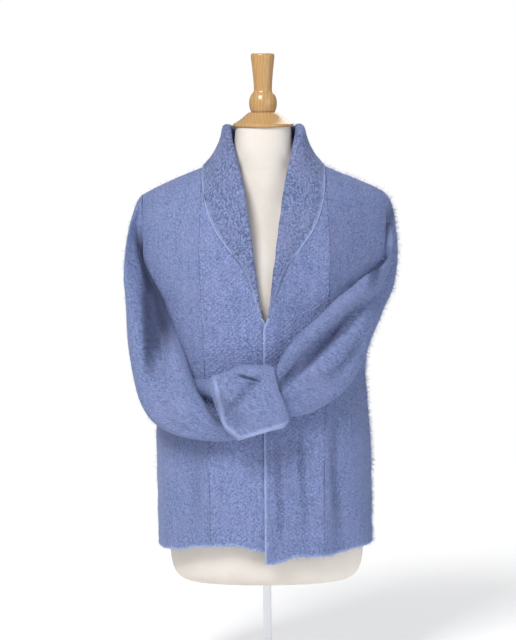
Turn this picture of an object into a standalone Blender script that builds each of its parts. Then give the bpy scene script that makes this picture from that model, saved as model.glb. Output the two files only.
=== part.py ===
"""Knitted cardigan with a shawl collar, its sleeves knotted in front, worn by a dress form.

Units are metres and +Z is up. The front faces -Y and the wearer's right is -X.
The origin is the centre of the base plate's underside.
"""

import math
from collections import namedtuple

import bmesh
import bpy
import numpy as np

# Cloth and clearances
CLOTH = 0.0024
SEAM_GAP = 0.0003
NECK_SEAM_GAP = 0.0026
LAY_GAP = 0.0007
REST_GAP = 0.0006

# Heights and half-widths of the cut
HEM_Z = 0.246
UNDERARM_Z = 0.710
CHEST_Z = 0.800
TIP_Z = 0.912
NECK_X = 0.080
NECK_Y = 0.066
RING_POWER = 2.6
COLUMN_POWER = 1.3
SLOPE_STEP = 0.001
SHARP_ANGLE = 40
HEM_FADE = 0.5

# How many faces each panel has
HEM_ROWS = 8
ARM_ROWS = 3
DOME_ROWS = 7
SIDE_COLUMNS = 10
BAND_COLUMNS = 5
BACK_COLUMNS = 22
COLLAR_STATIONS = 22
FALL_STEPS = 4
STAND_STEPS = 2
ROLL_STEPS = 4
RIGHT_SLEEVE_RINGS = 34
LEFT_SLEEVE_RINGS = 27

# Overlap of the two fronts
LEFT_EDGE_X = -0.004
RIGHT_EDGE_X = -0.006
OVERLAP_LIFT = 0.0038
OVERLAP_START = 0.034
OVERLAP_FULL = 0.012
OVERLAP_TOP = 0.780
OVERLAP_END = 0.860

SLEEVE_POWER = 2.4
SLEEVE_SIDES = 20
HEAD_RINGS = 5
HEAD_GAP = 0.0009
HEAD_OUTWARD = (0.080, 0.0, -0.070)
HEAD_PULL = 0.190
RIGHT_HEAD_RIDGE = 0.025
LEFT_HEAD_RIDGE = 0.0
HEAD_RIDGE_TURN = math.radians(50)
HEAD_RIDGE_SPREAD = math.radians(32)
RIGHT_EVEN_RING = 1
LEFT_EVEN_RING = 9
SLEEVE_OFF_BODY = 0.0058

# The form and its stand
FORM_SIDES = 32
FORM_POWER = 2.25
TURNED_SIDES = 32
POLE_RADIUS = 0.008
POLE_CLEARANCE = 0.0003
SOCKET_DEPTH = 0.040
FORM_BOTTOM_Z = 0.178
NECK_TOP_Z = 1.0385
BASE_RADIUS = 0.150
BASE_THICKNESS = 0.012
CENTRE_OF_BODY = (0.0, 0.0, 0.62)
FORM_RIM = 0.010
POLE_BEVEL = 0.001

BodyRow = namedtuple("BodyRow", "z right_half left_half front_depth back_depth")
BODY = [
    BodyRow(0.225, 0.205, 0.201, 0.137, 0.134),
    BodyRow(0.330, 0.207, 0.201, 0.138, 0.136),
    BodyRow(0.460, 0.208, 0.198, 0.134, 0.130),
    BodyRow(0.600, 0.204, 0.191, 0.129, 0.119),
    BodyRow(0.710, 0.210, 0.210, 0.126, 0.112),
    BodyRow(0.750, 0.227, 0.227, 0.125, 0.110),
    BodyRow(0.800, 0.240, 0.240, 0.124, 0.110),
    BodyRow(0.912, 0.240, 0.240, 0.120, 0.110),
]

ShoulderRow = namedtuple("ShoulderRow", "x z")
SHOULDER = [
    ShoulderRow(0.000, 1.002),
    ShoulderRow(0.080, 0.978),
    ShoulderRow(0.116, 0.963),
    ShoulderRow(0.149, 0.949),
    ShoulderRow(0.178, 0.937),
    ShoulderRow(0.205, 0.925),
    ShoulderRow(0.240, 0.906),
]

ArmholeRow = namedtuple("ArmholeRow", "z edge")
ARMHOLE = [
    ArmholeRow(0.710, 0.2100),
    ArmholeRow(0.735, 0.2185),
    ArmholeRow(0.760, 0.2230),
    ArmholeRow(0.800, 0.2270),
    ArmholeRow(0.860, 0.2290),
    ArmholeRow(0.912, 0.2290),
]

HemRow = namedtuple("HemRow", "x z")
RIGHT_HEM = [
    HemRow(0.000, 0.248),
    HemRow(0.050, 0.259),
    HemRow(0.134, 0.256),
    HemRow(0.180, 0.249),
    HemRow(0.210, HEM_Z),
]
LEFT_HEM = [
    HemRow(0.000, 0.229),
    HemRow(0.015, 0.229),
    HemRow(0.060, 0.239),
    HemRow(0.118, 0.239),
    HemRow(0.180, 0.250),
    HemRow(0.210, HEM_Z),
]
BACK_HEM = [
    HemRow(0.000, 0.240),
    HemRow(0.080, 0.243),
    HemRow(0.150, 0.240),
    HemRow(0.210, HEM_Z),
]

BandSeamRow = namedtuple("BandSeamRow", "level x")
BAND_SEAM = [
    BandSeamRow(0.00, 0.105),
    BandSeamRow(0.35, 0.108),
    BandSeamRow(0.75, 0.116),
    BandSeamRow(1.00, 0.121),
    BandSeamRow(1.40, 0.118),
    BandSeamRow(2.00, 0.114),
]

NeckEdgeRow = namedtuple("NeckEdgeRow", "level x")
NECK_EDGE_FROM = 0.750
NECK_EDGE = [
    NeckEdgeRow(0.830, 0.0095),
    NeckEdgeRow(0.880, 0.0170),
    NeckEdgeRow(0.980, 0.0335),
    NeckEdgeRow(1.170, 0.0450),
    NeckEdgeRow(1.360, 0.0530),
    NeckEdgeRow(1.600, 0.0630),
    NeckEdgeRow(1.850, 0.0740),
    NeckEdgeRow(2.000, 0.0800),
]

# Soft folds of the body: angle from the middle and spread in degrees, depth outwards
FoldRow = namedtuple("FoldRow", "side angle spread depth top_z")
FOLDS = [
    FoldRow(-1, -62, 9, 0.0050, 0.62),
    FoldRow(-1, -40, 8, -0.0035, 0.58),
    FoldRow(-1, -19, 8, -0.0030, 0.50),
    FoldRow(-1, 15, 6, -0.0060, 0.52),
    FoldRow(-1, 27, 6, 0.0050, 0.54),
    FoldRow(-1, 38, 6, -0.0050, 0.56),
    FoldRow(-1, 56, 9, 0.0050, 0.60),
    FoldRow(1, -58, 9, 0.0060, 0.66),
    FoldRow(1, -36, 8, -0.0055, 0.62),
    FoldRow(1, -12, 9, 0.0050, 0.58),
    FoldRow(1, 13, 8, -0.0045, 0.64),
    FoldRow(1, 38, 9, 0.0060, 0.60),
    FoldRow(1, 62, 8, -0.0045, 0.66),
]

# One half of the collar, from the middle of the back neck to the foot of the lapel.
# seam runs from 0 at the back, through 0.5 at the shoulder, to 1 at the foot of the lapel.
CollarRow = namedtuple(
    "CollarRow", "at seam roll_x roll_y roll_z radius edge_x edge_y edge_z puff"
)
COLLAR = [
    CollarRow(0.0, 0.000, 0.0000, 0.0670, 1.035, 0.0080, 0.0000, 0.0880, 0.946, 0.001),
    CollarRow(0.1, 0.180, 0.0360, 0.0570, 1.037, 0.0080, 0.0610, 0.0790, 0.947, 0.000),
    CollarRow(0.2, 0.340, 0.0580, 0.0310, 1.039, 0.0085, 0.1030, 0.0500, 0.953, -0.005),
    CollarRow(0.3, 0.500, 0.0655, 0.0000, 1.042, 0.0090, 0.1140, 0.0000, 0.9675, -0.008),
    CollarRow(0.4, 0.570, 0.0620, -0.0270, 1.024, 0.0080, 0.1160, -0.0540, 0.947, -0.006),
    CollarRow(0.5, 0.640, 0.0530, -0.0520, 0.990, 0.0062, 0.1130, -0.0830, 0.917, -0.001),
    CollarRow(0.6, 0.710, 0.0425, -0.0760, 0.950, 0.0050, 0.1060, -0.1000, 0.884, 0.002),
    CollarRow(0.7, 0.790, 0.0335, -0.0980, 0.902, 0.0042, 0.0910, -0.1120, 0.849, 0.002),
    CollarRow(0.8, 0.860, 0.0265, -0.1120, 0.851, 0.0036, 0.0650, -0.1200, 0.812, 0.002),
    CollarRow(0.9, 0.930, 0.0190, -0.1220, 0.790, 0.0032, 0.0380, -0.1240, 0.775, 0.001),
    CollarRow(1.0, 0.985, 0.0110, -0.1250, 0.722, 0.0030, 0.0180, -0.1250, 0.724, 0.000),
]

# Sleeve sections: the fold on the underarm side (inner) and on the overarm side (outer),
# the half-thickness towards each face, and a lengthwise trough in the first face.
SleeveRow = namedtuple(
    "SleeveRow",
    "inner outer face_half back_half trough_at trough_depth trough_spread",
    defaults=(0.0, 0.0, 1.0),
)

# Which turn round the armhole, from the shoulder tip down the front, each turn of a section starts at
HeadRow = namedtuple("HeadRow", "section armhole")
SLEEVE_HEAD = [
    HeadRow(0, 0),
    HeadRow(90, 48),
    HeadRow(180, 102),
    HeadRow(270, 182),
    HeadRow(318, 262),
    HeadRow(360, 360),
]
RIGHT_SLEEVE = [
    SleeveRow((-0.1860, -0.081, 0.709), (-0.2500, -0.052, 0.724), 0.066, 0.014, -0.55, 0.062, 0.72),
    SleeveRow((-0.1710, -0.097, 0.668), (-0.2515, -0.060, 0.676), 0.056, 0.012, -0.50, 0.052, 0.62),
    SleeveRow((-0.1530, -0.116, 0.631), (-0.2505, -0.072, 0.630), 0.044, 0.010, -0.25, 0.038, 0.45),
    SleeveRow((-0.1400, -0.135, 0.592), (-0.2450, -0.088, 0.582), 0.033, 0.009, 0.00, 0.024, 0.36),
    SleeveRow((-0.1270, -0.148, 0.558), (-0.2330, -0.102, 0.534), 0.028, 0.009, 0.20, 0.009, 0.34),
    SleeveRow((-0.1090, -0.154, 0.530), (-0.2110, -0.120, 0.496), 0.025, 0.009),
    SleeveRow((-0.0980, -0.155, 0.511), (-0.1720, -0.134, 0.474), 0.020, 0.010),
    SleeveRow((-0.0880, -0.155, 0.498), (-0.1280, -0.146, 0.466), 0.015, 0.010),
    SleeveRow((-0.0780, -0.153, 0.495), (-0.0860, -0.149, 0.462), 0.011, 0.010),
    SleeveRow((-0.0660, -0.149, 0.503), (-0.0500, -0.147, 0.466), 0.009, 0.009),
    SleeveRow((-0.0570, -0.144, 0.521), (-0.0220, -0.143, 0.487), 0.0075, 0.0075),
    SleeveRow((-0.0530, -0.142, 0.545), (-0.0040, -0.142, 0.522), 0.0065, 0.0065),
    SleeveRow((-0.0520, -0.142, 0.570), (0.0070, -0.142, 0.558), 0.0065, 0.0065),
    SleeveRow((-0.0520, -0.1435, 0.586), (0.0120, -0.1435, 0.583), 0.0065, 0.0065),
    SleeveRow((-0.0525, -0.151, 0.597), (0.0140, -0.151, 0.596), 0.0065, 0.0065),
    SleeveRow((-0.0545, -0.162, 0.601), (0.0150, -0.162, 0.600), 0.0065, 0.0070),
    SleeveRow((-0.0600, -0.173, 0.599), (0.0165, -0.174, 0.595), 0.0065, 0.0075),
    SleeveRow((-0.0820, -0.1805, 0.593), (0.0195, -0.1805, 0.580), 0.0065, 0.0080),
    SleeveRow((-0.1055, -0.1825, 0.583), (0.0240, -0.1825, 0.562), 0.0070, 0.0085),
    SleeveRow((-0.1010, -0.1835, 0.556), (0.0310, -0.1835, 0.541), 0.0080, 0.0090),
    SleeveRow((-0.0850, -0.1845, 0.512), (0.0400, -0.1845, 0.520), 0.0085, 0.0095),
    SleeveRow((-0.0660, -0.1850, 0.466), (0.0480, -0.1850, 0.498), 0.0085, 0.0095),
]
LEFT_SLEEVE = [
    SleeveRow((0.1710, -0.119, 0.748), (0.2180, -0.018, 0.713), 0.030, 0.012, -0.10, 0.008, 0.30),
    SleeveRow((0.1400, -0.132, 0.729), (0.2060, -0.051, 0.674), 0.027, 0.009, -0.25, 0.011, 0.28),
    SleeveRow((0.1120, -0.141, 0.704), (0.1930, -0.083, 0.640), 0.025, 0.009, -0.35, 0.014, 0.26),
    SleeveRow((0.0840, -0.149, 0.681), (0.1810, -0.105, 0.608), 0.024, 0.009, -0.42, 0.017, 0.25),
    SleeveRow((0.0580, -0.155, 0.657), (0.1640, -0.123, 0.577), 0.022, 0.009, -0.45, 0.018, 0.25),
    SleeveRow((0.0400, -0.159, 0.634), (0.1400, -0.138, 0.549), 0.018, 0.009, -0.45, 0.015, 0.26),
    SleeveRow((0.0260, -0.161, 0.610), (0.1080, -0.148, 0.527), 0.013, 0.009, -0.42, 0.009, 0.28),
    SleeveRow((0.0140, -0.162, 0.591), (0.0700, -0.156, 0.512), 0.0095, 0.0090),
    SleeveRow((-0.0020, -0.163, 0.583), (0.0300, -0.160, 0.508), 0.0085, 0.0085),
    SleeveRow((-0.0210, -0.163, 0.580), (-0.0050, -0.162, 0.514), 0.0085, 0.0085),
    SleeveRow((-0.0410, -0.163, 0.579), (-0.0400, -0.162, 0.524), 0.0085, 0.0085),
    SleeveRow((-0.0630, -0.161, 0.578), (-0.0680, -0.160, 0.532), 0.0080, 0.0080),
    SleeveRow((-0.0850, -0.153, 0.578), (-0.0880, -0.153, 0.538), 0.0075, 0.0075),
    SleeveRow((-0.1050, -0.140, 0.577), (-0.1040, -0.140, 0.545), 0.0070, 0.0070),
    SleeveRow((-0.1230, -0.129, 0.576), (-0.1200, -0.129, 0.548), 0.0065, 0.0065),
    SleeveRow((-0.1420, -0.120, 0.575), (-0.1380, -0.120, 0.549), 0.0065, 0.0065),
]

# The form: half-width, depth to the front and depth to the back at each height
FormRow = namedtuple("FormRow", "z half front back")
FORM_BELOW_SHOULDER = [
    FormRow(0.184, 0.168, 0.100, 0.102),
    FormRow(0.196, 0.177, 0.107, 0.109),
    FormRow(0.218, 0.183, 0.112, 0.114),
    FormRow(0.260, 0.186, 0.115, 0.118),
    FormRow(0.310, 0.186, 0.116, 0.120),
    FormRow(0.370, 0.178, 0.111, 0.117),
    FormRow(0.430, 0.160, 0.101, 0.105),
    FormRow(0.490, 0.141, 0.091, 0.090),
    FormRow(0.540, 0.134, 0.088, 0.081),
    FormRow(0.600, 0.141, 0.096, 0.081),
    FormRow(0.660, 0.152, 0.107, 0.086),
    FormRow(0.715, 0.161, 0.113, 0.091),
    FormRow(0.770, 0.169, 0.110, 0.095),
    FormRow(0.820, 0.178, 0.098, 0.095),
    FormRow(0.865, 0.187, 0.080, 0.087),
    FormRow(0.900, 0.192, 0.061, 0.072),
    FormRow(0.916, 0.192, 0.044, 0.050),
]
FormShoulderRow = namedtuple("FormShoulderRow", "half front back")
FORM_SHOULDER = [
    FormShoulderRow(0.180, 0.033, 0.037),
    FormShoulderRow(0.160, 0.025, 0.026),
    FormShoulderRow(0.136, 0.021, 0.021),
    FormShoulderRow(0.112, 0.021, 0.021),
]
FORM_NECK = [
    FormRow(0.963, 0.092, 0.038, 0.040),
    FormRow(0.972, 0.074, 0.046, 0.047),
    FormRow(0.986, 0.0625, 0.0515, 0.0520),
    FormRow(1.004, 0.0560, 0.0535, 0.0535),
    FormRow(1.022, 0.0530, 0.0530, 0.0530),
    FormRow(NECK_TOP_Z, 0.0515, 0.0515, 0.0515),
]

# The neck carried down into the shoulders: no ring of the form lies inside it
NECK_ROOT = [
    FormRow(0.865, 0.090, 0.080, 0.085),
    FormRow(0.900, 0.088, 0.068, 0.073),
    FormRow(0.916, 0.085, 0.064, 0.0665),
    FormRow(0.933, 0.079, 0.060, 0.0605),
    FormRow(0.950, 0.071, 0.0565, 0.0570),
    FormRow(0.972, 0.0615, 0.0545, 0.055),
    FormRow(1.004, 0.0560, 0.0535, 0.0535),
    FormRow(NECK_TOP_Z, 0.0515, 0.0515, 0.0515),
]

# Turned pieces: radius and height up the outer side
TurnedRow = namedtuple("TurnedRow", "radius z")
NECK_CAP = [
    TurnedRow(0.0560, 1.0390),
    TurnedRow(0.0572, 1.0402),
    TurnedRow(0.0572, 1.0432),
    TurnedRow(0.0560, 1.0446),
    TurnedRow(0.0500, 1.0475),
    TurnedRow(0.0420, 1.0530),
    TurnedRow(0.0345, 1.0595),
    TurnedRow(0.0285, 1.0645),
    TurnedRow(0.0255, 1.0660),
]
FINIAL = [
    TurnedRow(0.0222, 1.0663),
    TurnedRow(0.0236, 1.0685),
    TurnedRow(0.0256, 1.0750),
    TurnedRow(0.0264, 1.0830),
    TurnedRow(0.0256, 1.0905),
    TurnedRow(0.0226, 1.0985),
    TurnedRow(0.0180, 1.1035),
    TurnedRow(0.0168, 1.1070),
    TurnedRow(0.0176, 1.1230),
    TurnedRow(0.0194, 1.1440),
    TurnedRow(0.0214, 1.1620),
    TurnedRow(0.0224, 1.1700),
    TurnedRow(0.0218, 1.1745),
    TurnedRow(0.0200, 1.1762),
]
BASE_PLATE = [
    TurnedRow(BASE_RADIUS - 0.0015, 0.0),
    TurnedRow(BASE_RADIUS, 0.0015),
    TurnedRow(BASE_RADIUS, BASE_THICKNESS - 0.005),
    TurnedRow(BASE_RADIUS - 0.0030, BASE_THICKNESS - 0.0018),
    TurnedRow(BASE_RADIUS - 0.0080, BASE_THICKNESS),
]
SOCKET_OUTER = [
    TurnedRow(0.0300, BASE_THICKNESS + SEAM_GAP),
    TurnedRow(0.0300, BASE_THICKNESS + 0.0045),
    TurnedRow(0.0280, BASE_THICKNESS + 0.0065),
    TurnedRow(0.0160, BASE_THICKNESS + 0.0110),
    TurnedRow(0.0130, BASE_THICKNESS + 0.0160),
    TurnedRow(0.0130, BASE_THICKNESS + 0.0330),
    TurnedRow(0.0118, BASE_THICKNESS + 0.0345),
]

Finish = namedtuple("Finish", "colour roughness metallic")
WOOL = Finish((0.235, 0.300, 0.560), 0.95, 0.0)
JERSEY = Finish((0.860, 0.790, 0.700), 0.85, 0.0)
BEECH = Finish((0.560, 0.330, 0.130), 0.35, 0.0)
STEEL = Finish((0.620, 0.620, 0.630), 0.25, 1.0)


def along(rows, column, at):
    """Smooth value of a table's column at a value of the table's first column."""
    keys = np.array([row[0] for row in rows])
    values = np.array([getattr(row, column) for row in rows])
    slopes = np.gradient(values, keys)
    at = np.clip(at, keys[0], keys[-1])
    i = np.clip(np.searchsorted(keys, at) - 1, 0, len(keys) - 2)
    span = keys[i + 1] - keys[i]
    t = (at - keys[i]) / span
    rise = (3 - 2 * t) * t * t
    bend = slopes[i] * t * (1 - t) ** 2 - slopes[i + 1] * t * t * (1 - t)
    return values[i] * (1 - rise) + values[i + 1] * rise + bend * span


def smooth_step(start, end, at):
    """0 before start, 1 after end, and a soft change between them."""
    t = np.clip((at - start) / (end - start), 0.0, 1.0)
    return t * t * (3 - 2 * t)


def unit(vectors):
    """The vectors at length 1."""
    return vectors / np.linalg.norm(vectors, axis=-1, keepdims=True)


def shoulder_z(x):
    """Height of the shoulder seam at a distance from the middle."""
    return along(SHOULDER, "z", np.abs(x))


def edge_height(level):
    """Height of a row of the body at its armhole edge."""
    rise = np.sin(np.clip(level - 1, 0, 1) * math.pi / 2)
    below = HEM_Z + level * (CHEST_Z - HEM_Z)
    return np.where(level > 1, CHEST_Z + rise * (TIP_Z - CHEST_Z), below)


def half_width(flank, level):
    """Half-width of the body's ring, to the wearer's right (flank -1) or left (+1)."""
    z = edge_height(level)
    right = along(BODY, "right_half", z)
    return np.where(flank < 0, right, along(BODY, "left_half", z))


def depth_column(side):
    """Name of the depth column of the front (-1) or the back (+1)."""
    return "front_depth" if side < 0 else "back_depth"


def angle_at(x, level):
    """Angle round the body of a point at x on a row."""
    share = np.clip(np.abs(x) / half_width(x, level), 0, 1)
    return np.sign(x) * np.arcsin(share ** (RING_POWER / 2))


def armhole_angle(flank, level):
    """Angle of the side seam, or of the armhole's edge above the underarm."""
    edge = along(ARMHOLE, "edge", edge_height(level))
    share = np.clip(edge / half_width(flank, level), 0, 1)
    under = edge_height(level) <= UNDERARM_Z + SEAM_GAP
    return np.where(under, math.pi / 2, np.arcsin(share ** (RING_POWER / 2)))


def fold_depth(side, angle, z):
    """How far the soft folds push the cloth outwards."""
    depth = np.zeros(np.shape(angle))
    for fold in FOLDS:
        if fold.side == side:
            off = (np.degrees(angle) - fold.angle) / fold.spread
            fade = 1 - smooth_step(HEM_Z, fold.top_z, z)
            depth = depth + fold.depth * np.exp(-off * off) * fade
    return depth


def body_point(side, angle, level, hem):
    """Outer surface of the body: side is -1 in front and +1 behind, level 0 at the hem, 1 at the
    chest line and 2 at the shoulder seam."""
    dome = np.clip(level - 1, 0, None) * math.pi / 2
    depth = along(BODY, depth_column(side), edge_height(level))
    wide = np.abs(np.sin(angle)) ** (2 / RING_POWER)
    deep = np.sign(np.cos(angle)) * np.abs(np.cos(angle)) ** (2 / RING_POWER)
    x = half_width(angle, level) * np.sign(angle) * wide
    hem_z = along(hem, "z", np.abs(x))
    wave = (hem_z - HEM_Z) * (1 - smooth_step(0, HEM_FADE, level))
    low = HEM_Z + level * (CHEST_Z - HEM_Z) + wave
    high = CHEST_Z + np.sin(dome) * (shoulder_z(x) - CHEST_Z)
    z = np.where(level > 1, high, low)
    y = side * depth * np.cos(dome) * deep
    out = fold_depth(side, angle, z)
    return np.stack([x + out * np.sin(angle), y + side * out * np.cos(angle), z], -1)


def surface_y(side, x, z):
    """Depth of the body's outer surface behind or before a point at x and z."""
    rise = np.clip((z - CHEST_Z) / (shoulder_z(x) - CHEST_Z), 0, 1)
    edge_z = np.where(z > CHEST_Z, CHEST_Z + rise * (TIP_Z - CHEST_Z), z)
    half = np.where(
        x < 0, along(BODY, "right_half", edge_z), along(BODY, "left_half", edge_z)
    )
    depth = along(BODY, depth_column(side), edge_z)
    shape = np.clip(1 - (np.abs(x) / half) ** RING_POWER, 0, 1) ** (1 / RING_POWER)
    return side * depth * np.sqrt(1 - rise * rise) * shape


def body_levels():
    """Levels of the body's rows, with a row at the underarm and one at the chest line."""
    underarm = (UNDERARM_Z - HEM_Z) / (CHEST_Z - HEM_Z)
    low = np.linspace(0, underarm, HEM_ROWS + 1)[:-1]
    arm = np.linspace(underarm, 1, ARM_ROWS + 1)[:-1]
    return np.concatenate([low, arm, 1 + np.linspace(0, 1, DOME_ROWS + 1)])


def add_object(name, points, faces, finish):
    """A named object from points and faces, with its faces turned outwards."""
    mesh = bpy.data.meshes.new(name)
    work = bmesh.new()
    verts = [work.verts.new(p) for p in points]
    for face in faces:
        work.faces.new([verts[i] for i in face])
    bmesh.ops.recalc_face_normals(work, faces=work.faces[:])
    bmesh.ops.triangulate(work, faces=work.faces[:])
    work.to_mesh(mesh)
    work.free()
    mesh.shade_smooth()
    mesh.set_sharp_from_angle(angle=math.radians(SHARP_ANGLE))
    mesh.materials.append(material_of(finish))
    made = bpy.data.objects.new(name, mesh)
    bpy.context.scene.collection.objects.link(made)
    return made


def material_of(finish):
    """The Principled material of a finish, made once."""
    name = f"finish_{finish.roughness}_{finish.metallic}_{finish.colour[0]}"
    found = bpy.data.materials.get(name)
    if found:
        return found
    made = bpy.data.materials.new(name)
    made.use_nodes = True
    shader = made.node_tree.nodes["Principled BSDF"]
    shader.inputs["Base Color"].default_value = (*finish.colour, 1)
    shader.inputs["Roughness"].default_value = finish.roughness
    shader.inputs["Metallic"].default_value = finish.metallic
    return made


def add_wall(name, outer, inner, closed, finish):
    """A closed wall between two grids of points, rows by columns; closed joins the columns into a tube."""
    rows, columns = outer.shape[:2]
    points = np.concatenate([outer.reshape(-1, 3), inner.reshape(-1, 3)])
    under = rows * columns

    def at(row, column):
        return row * columns + column % columns

    spans = columns if closed else columns - 1
    faces = []
    for r in range(rows - 1):
        for c in range(spans):
            quad = [at(r, c), at(r, c + 1), at(r + 1, c + 1), at(r + 1, c)]
            faces.append(quad)
            faces.append([i + under for i in reversed(quad)])
    rims = [[at(r, c) for c in range(spans + 1)] for r in (0, rows - 1)]
    if not closed:
        rims += [[at(r, c) for r in range(rows)] for c in (0, columns - 1)]
    for rim in rims:
        for a, b in zip(rim, rim[1:]):
            faces.append([a, b, b + under, a + under])
    return add_object(name, points, faces, finish)


def add_panel(name, surface, columns, levels, side):
    """A body panel as a wall: surface(u, level) gives its outer points, u from 0 to 1."""
    u, level = np.meshgrid(np.linspace(0, 1, columns + 1), levels)
    outer = surface(u, level)
    across = surface(u + SLOPE_STEP, level) - surface(u - SLOPE_STEP, level)
    upward = surface(u, level + SLOPE_STEP) - surface(u, level - SLOPE_STEP)
    normal = unit(np.cross(across, upward))
    outwards = np.sum(normal * (outer - np.array(CENTRE_OF_BODY)), -1, keepdims=True)
    inner = outer - normal * np.sign(outwards) * CLOTH
    for grid in (outer, inner):
        grid[..., 1] = side * np.maximum(side * grid[..., 1], SEAM_GAP / 2)
    return add_wall(name, outer, inner, False, WOOL)


def band_seam_x(level):
    """Distance from the middle of the seam between a front and its band."""
    return along(BAND_SEAM, "x", level)


def neck_edge_x(level, edge_x):
    """Inner edge of a band: the front edge at edge_x, then the slope of the neck."""
    open_share = smooth_step(NECK_EDGE_FROM, NECK_EDGE[0].level, level)
    return edge_x + open_share * (along(NECK_EDGE, "x", level) - edge_x)


def add_side_front(name, flank, hem):
    """A front from its band's seam to the side seam and armhole."""

    def surface(u, level):
        start = np.abs(angle_at(flank * (band_seam_x(level) + SEAM_GAP / 2), level))
        angle = start + u * (armhole_angle(flank, level) - start)
        return body_point(-1, flank * angle, level, hem)

    return add_panel(name, surface, SIDE_COLUMNS, body_levels(), -1)


def add_front_band(name, flank, hem, edge_x, lift):
    """A front band from its edge to the seam, lifted by lift where it crosses the other band."""

    def surface(u, level):
        edge = neck_edge_x(level, edge_x)
        x = edge + u * (band_seam_x(level) - SEAM_GAP / 2 - edge)
        points = body_point(-1, angle_at(flank * x, level), level, hem)
        share = 1 - smooth_step(OVERLAP_FULL, OVERLAP_START, x)
        share = share * (1 - smooth_step(OVERLAP_TOP, OVERLAP_END, level))
        points[..., 1] -= lift * share
        return points

    return add_panel(name, surface, BAND_COLUMNS, body_levels(), -1)


def back_neck_level(x):
    """Level at which a column of the back ends: the shoulder seam, or the neckline's scoop."""
    scoop = NECK_Y * np.sqrt(np.clip(1 - (x / NECK_X) ** 2, 0, 1))
    top_half = BODY[-1].right_half
    shape = np.clip(1 - (np.abs(x) / top_half) ** RING_POWER, 0, 1) ** (1 / RING_POWER)
    deep = np.clip(scoop / (BODY[-1].back_depth * np.maximum(shape, 0.1)), 0, 1)
    return 1 + np.arccos(deep) / (math.pi / 2)


def add_back(name):
    """The back in one piece, from side seam to side seam."""

    def surface(u, level):
        across = 2 * u - 1
        angle = np.sign(across) * np.abs(across) ** COLUMN_POWER
        angle = angle * armhole_angle(across, level)
        x = BODY[-1].right_half * np.sign(angle) * np.abs(np.sin(angle)) ** (2 / RING_POWER)
        scaled = 1 + (level - 1) * (back_neck_level(x) - 1)
        return body_point(1, angle, np.where(level > 1, scaled, level), BACK_HEM)

    return add_panel(name, surface, BACK_COLUMNS, body_levels(), 1)


def neck_seam_point(seam):
    """Point of the neck seam in the middle of the wall, on the wearer's left."""
    if seam <= 0.5:
        turn = seam * math.pi
        x = NECK_X * math.sin(turn)
        y = NECK_Y * math.cos(turn)
        level = float(back_neck_level(np.array(x)))
        rise = math.sin((level - 1) * math.pi / 2)
        z = CHEST_Z + rise * (float(shoulder_z(x)) - CHEST_Z)
        return np.array([x, y, z - CLOTH / 2])
    first = NECK_EDGE[0].level
    level = np.array(2 - (seam - 0.5) * 2 * (2 - first))
    x = along(NECK_EDGE, "x", level)
    point = body_point(-1, angle_at(x, level), level, LEFT_HEM)
    down = 0.5 * CLOTH * np.clip(level - 1, 0, 1)
    return point + np.array([0, CLOTH / 2, -float(down)])


def clear_of_body(points, gap):
    """Points moved out of the body along Y, to lie at least gap outside it."""
    moved = points.copy()
    front = surface_y(-1, points[:, 0], points[:, 2]) - gap
    back = surface_y(1, points[:, 0], points[:, 2]) + gap
    ahead = points[:, 1] < 0
    moved[:, 1] = np.where(
        ahead, np.minimum(points[:, 1], front), np.maximum(points[:, 1], back)
    )
    over = points[:, 2] > shoulder_z(points[:, 0])
    moved[over] = points[over]
    return moved


def collar_section(station):
    """Middle line of the collar's wall at a station from 0 at the back to 1 at the lapel's foot:
    up the stand, over the roll and down the fall."""

    def value(column):
        return float(along(COLLAR, column, np.array(station)))

    roll = np.array([value("roll_x"), value("roll_y"), value("roll_z")])
    edge = np.array([value("edge_x"), value("edge_y"), value("edge_z")])
    radius = value("radius")
    lay = LAY_GAP + CLOTH / 2
    edge = clear_of_body(edge[None], lay)[0]
    roll = clear_of_body(roll[None], radius - CLOTH / 2)[0]
    seam = neck_seam_point(value("seam"))
    seam = seam + unit(roll - seam) * NECK_SEAM_GAP
    tip = -unit(unit(edge - roll) + unit(seam - roll))
    outwards = np.array([roll[0], roll[1], 0.0]) / math.hypot(roll[0], roll[1])
    over = unit(outwards - tip * np.dot(outwards, tip))
    centre = roll - tip * radius
    turns = np.linspace(0, math.pi, ROLL_STEPS + 1)
    arc = [centre + radius * (tip * math.sin(t) - over * math.cos(t)) for t in turns]
    stand = [seam + (arc[0] - seam) * i / STAND_STEPS for i in range(STAND_STEPS)]
    shares = np.arange(1, FALL_STEPS + 1)[:, None] / FALL_STEPS
    puffed = over * value("puff") * 4 * shares * (1 - shares)
    fall = clear_of_body(arc[-1] + (edge - arc[-1]) * shares + puffed, lay)
    return np.array(stand + arc + list(fall))


def add_collar(name):
    """The shawl collar from one lapel's foot, round the neck, to the other."""
    half = [collar_section(i / COLLAR_STATIONS) for i in range(COLLAR_STATIONS + 1)]
    mirror = np.array([-1, 1, 1])
    middle = np.array([s * mirror for s in half[:0:-1]] + half)
    along_neck = np.gradient(middle, axis=0)
    across = np.gradient(middle, axis=1)
    normal = unit(np.cross(across, along_neck))
    return add_wall(
        name, middle + normal * CLOTH / 2, middle - normal * CLOTH / 2, False, WOOL
    )


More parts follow.
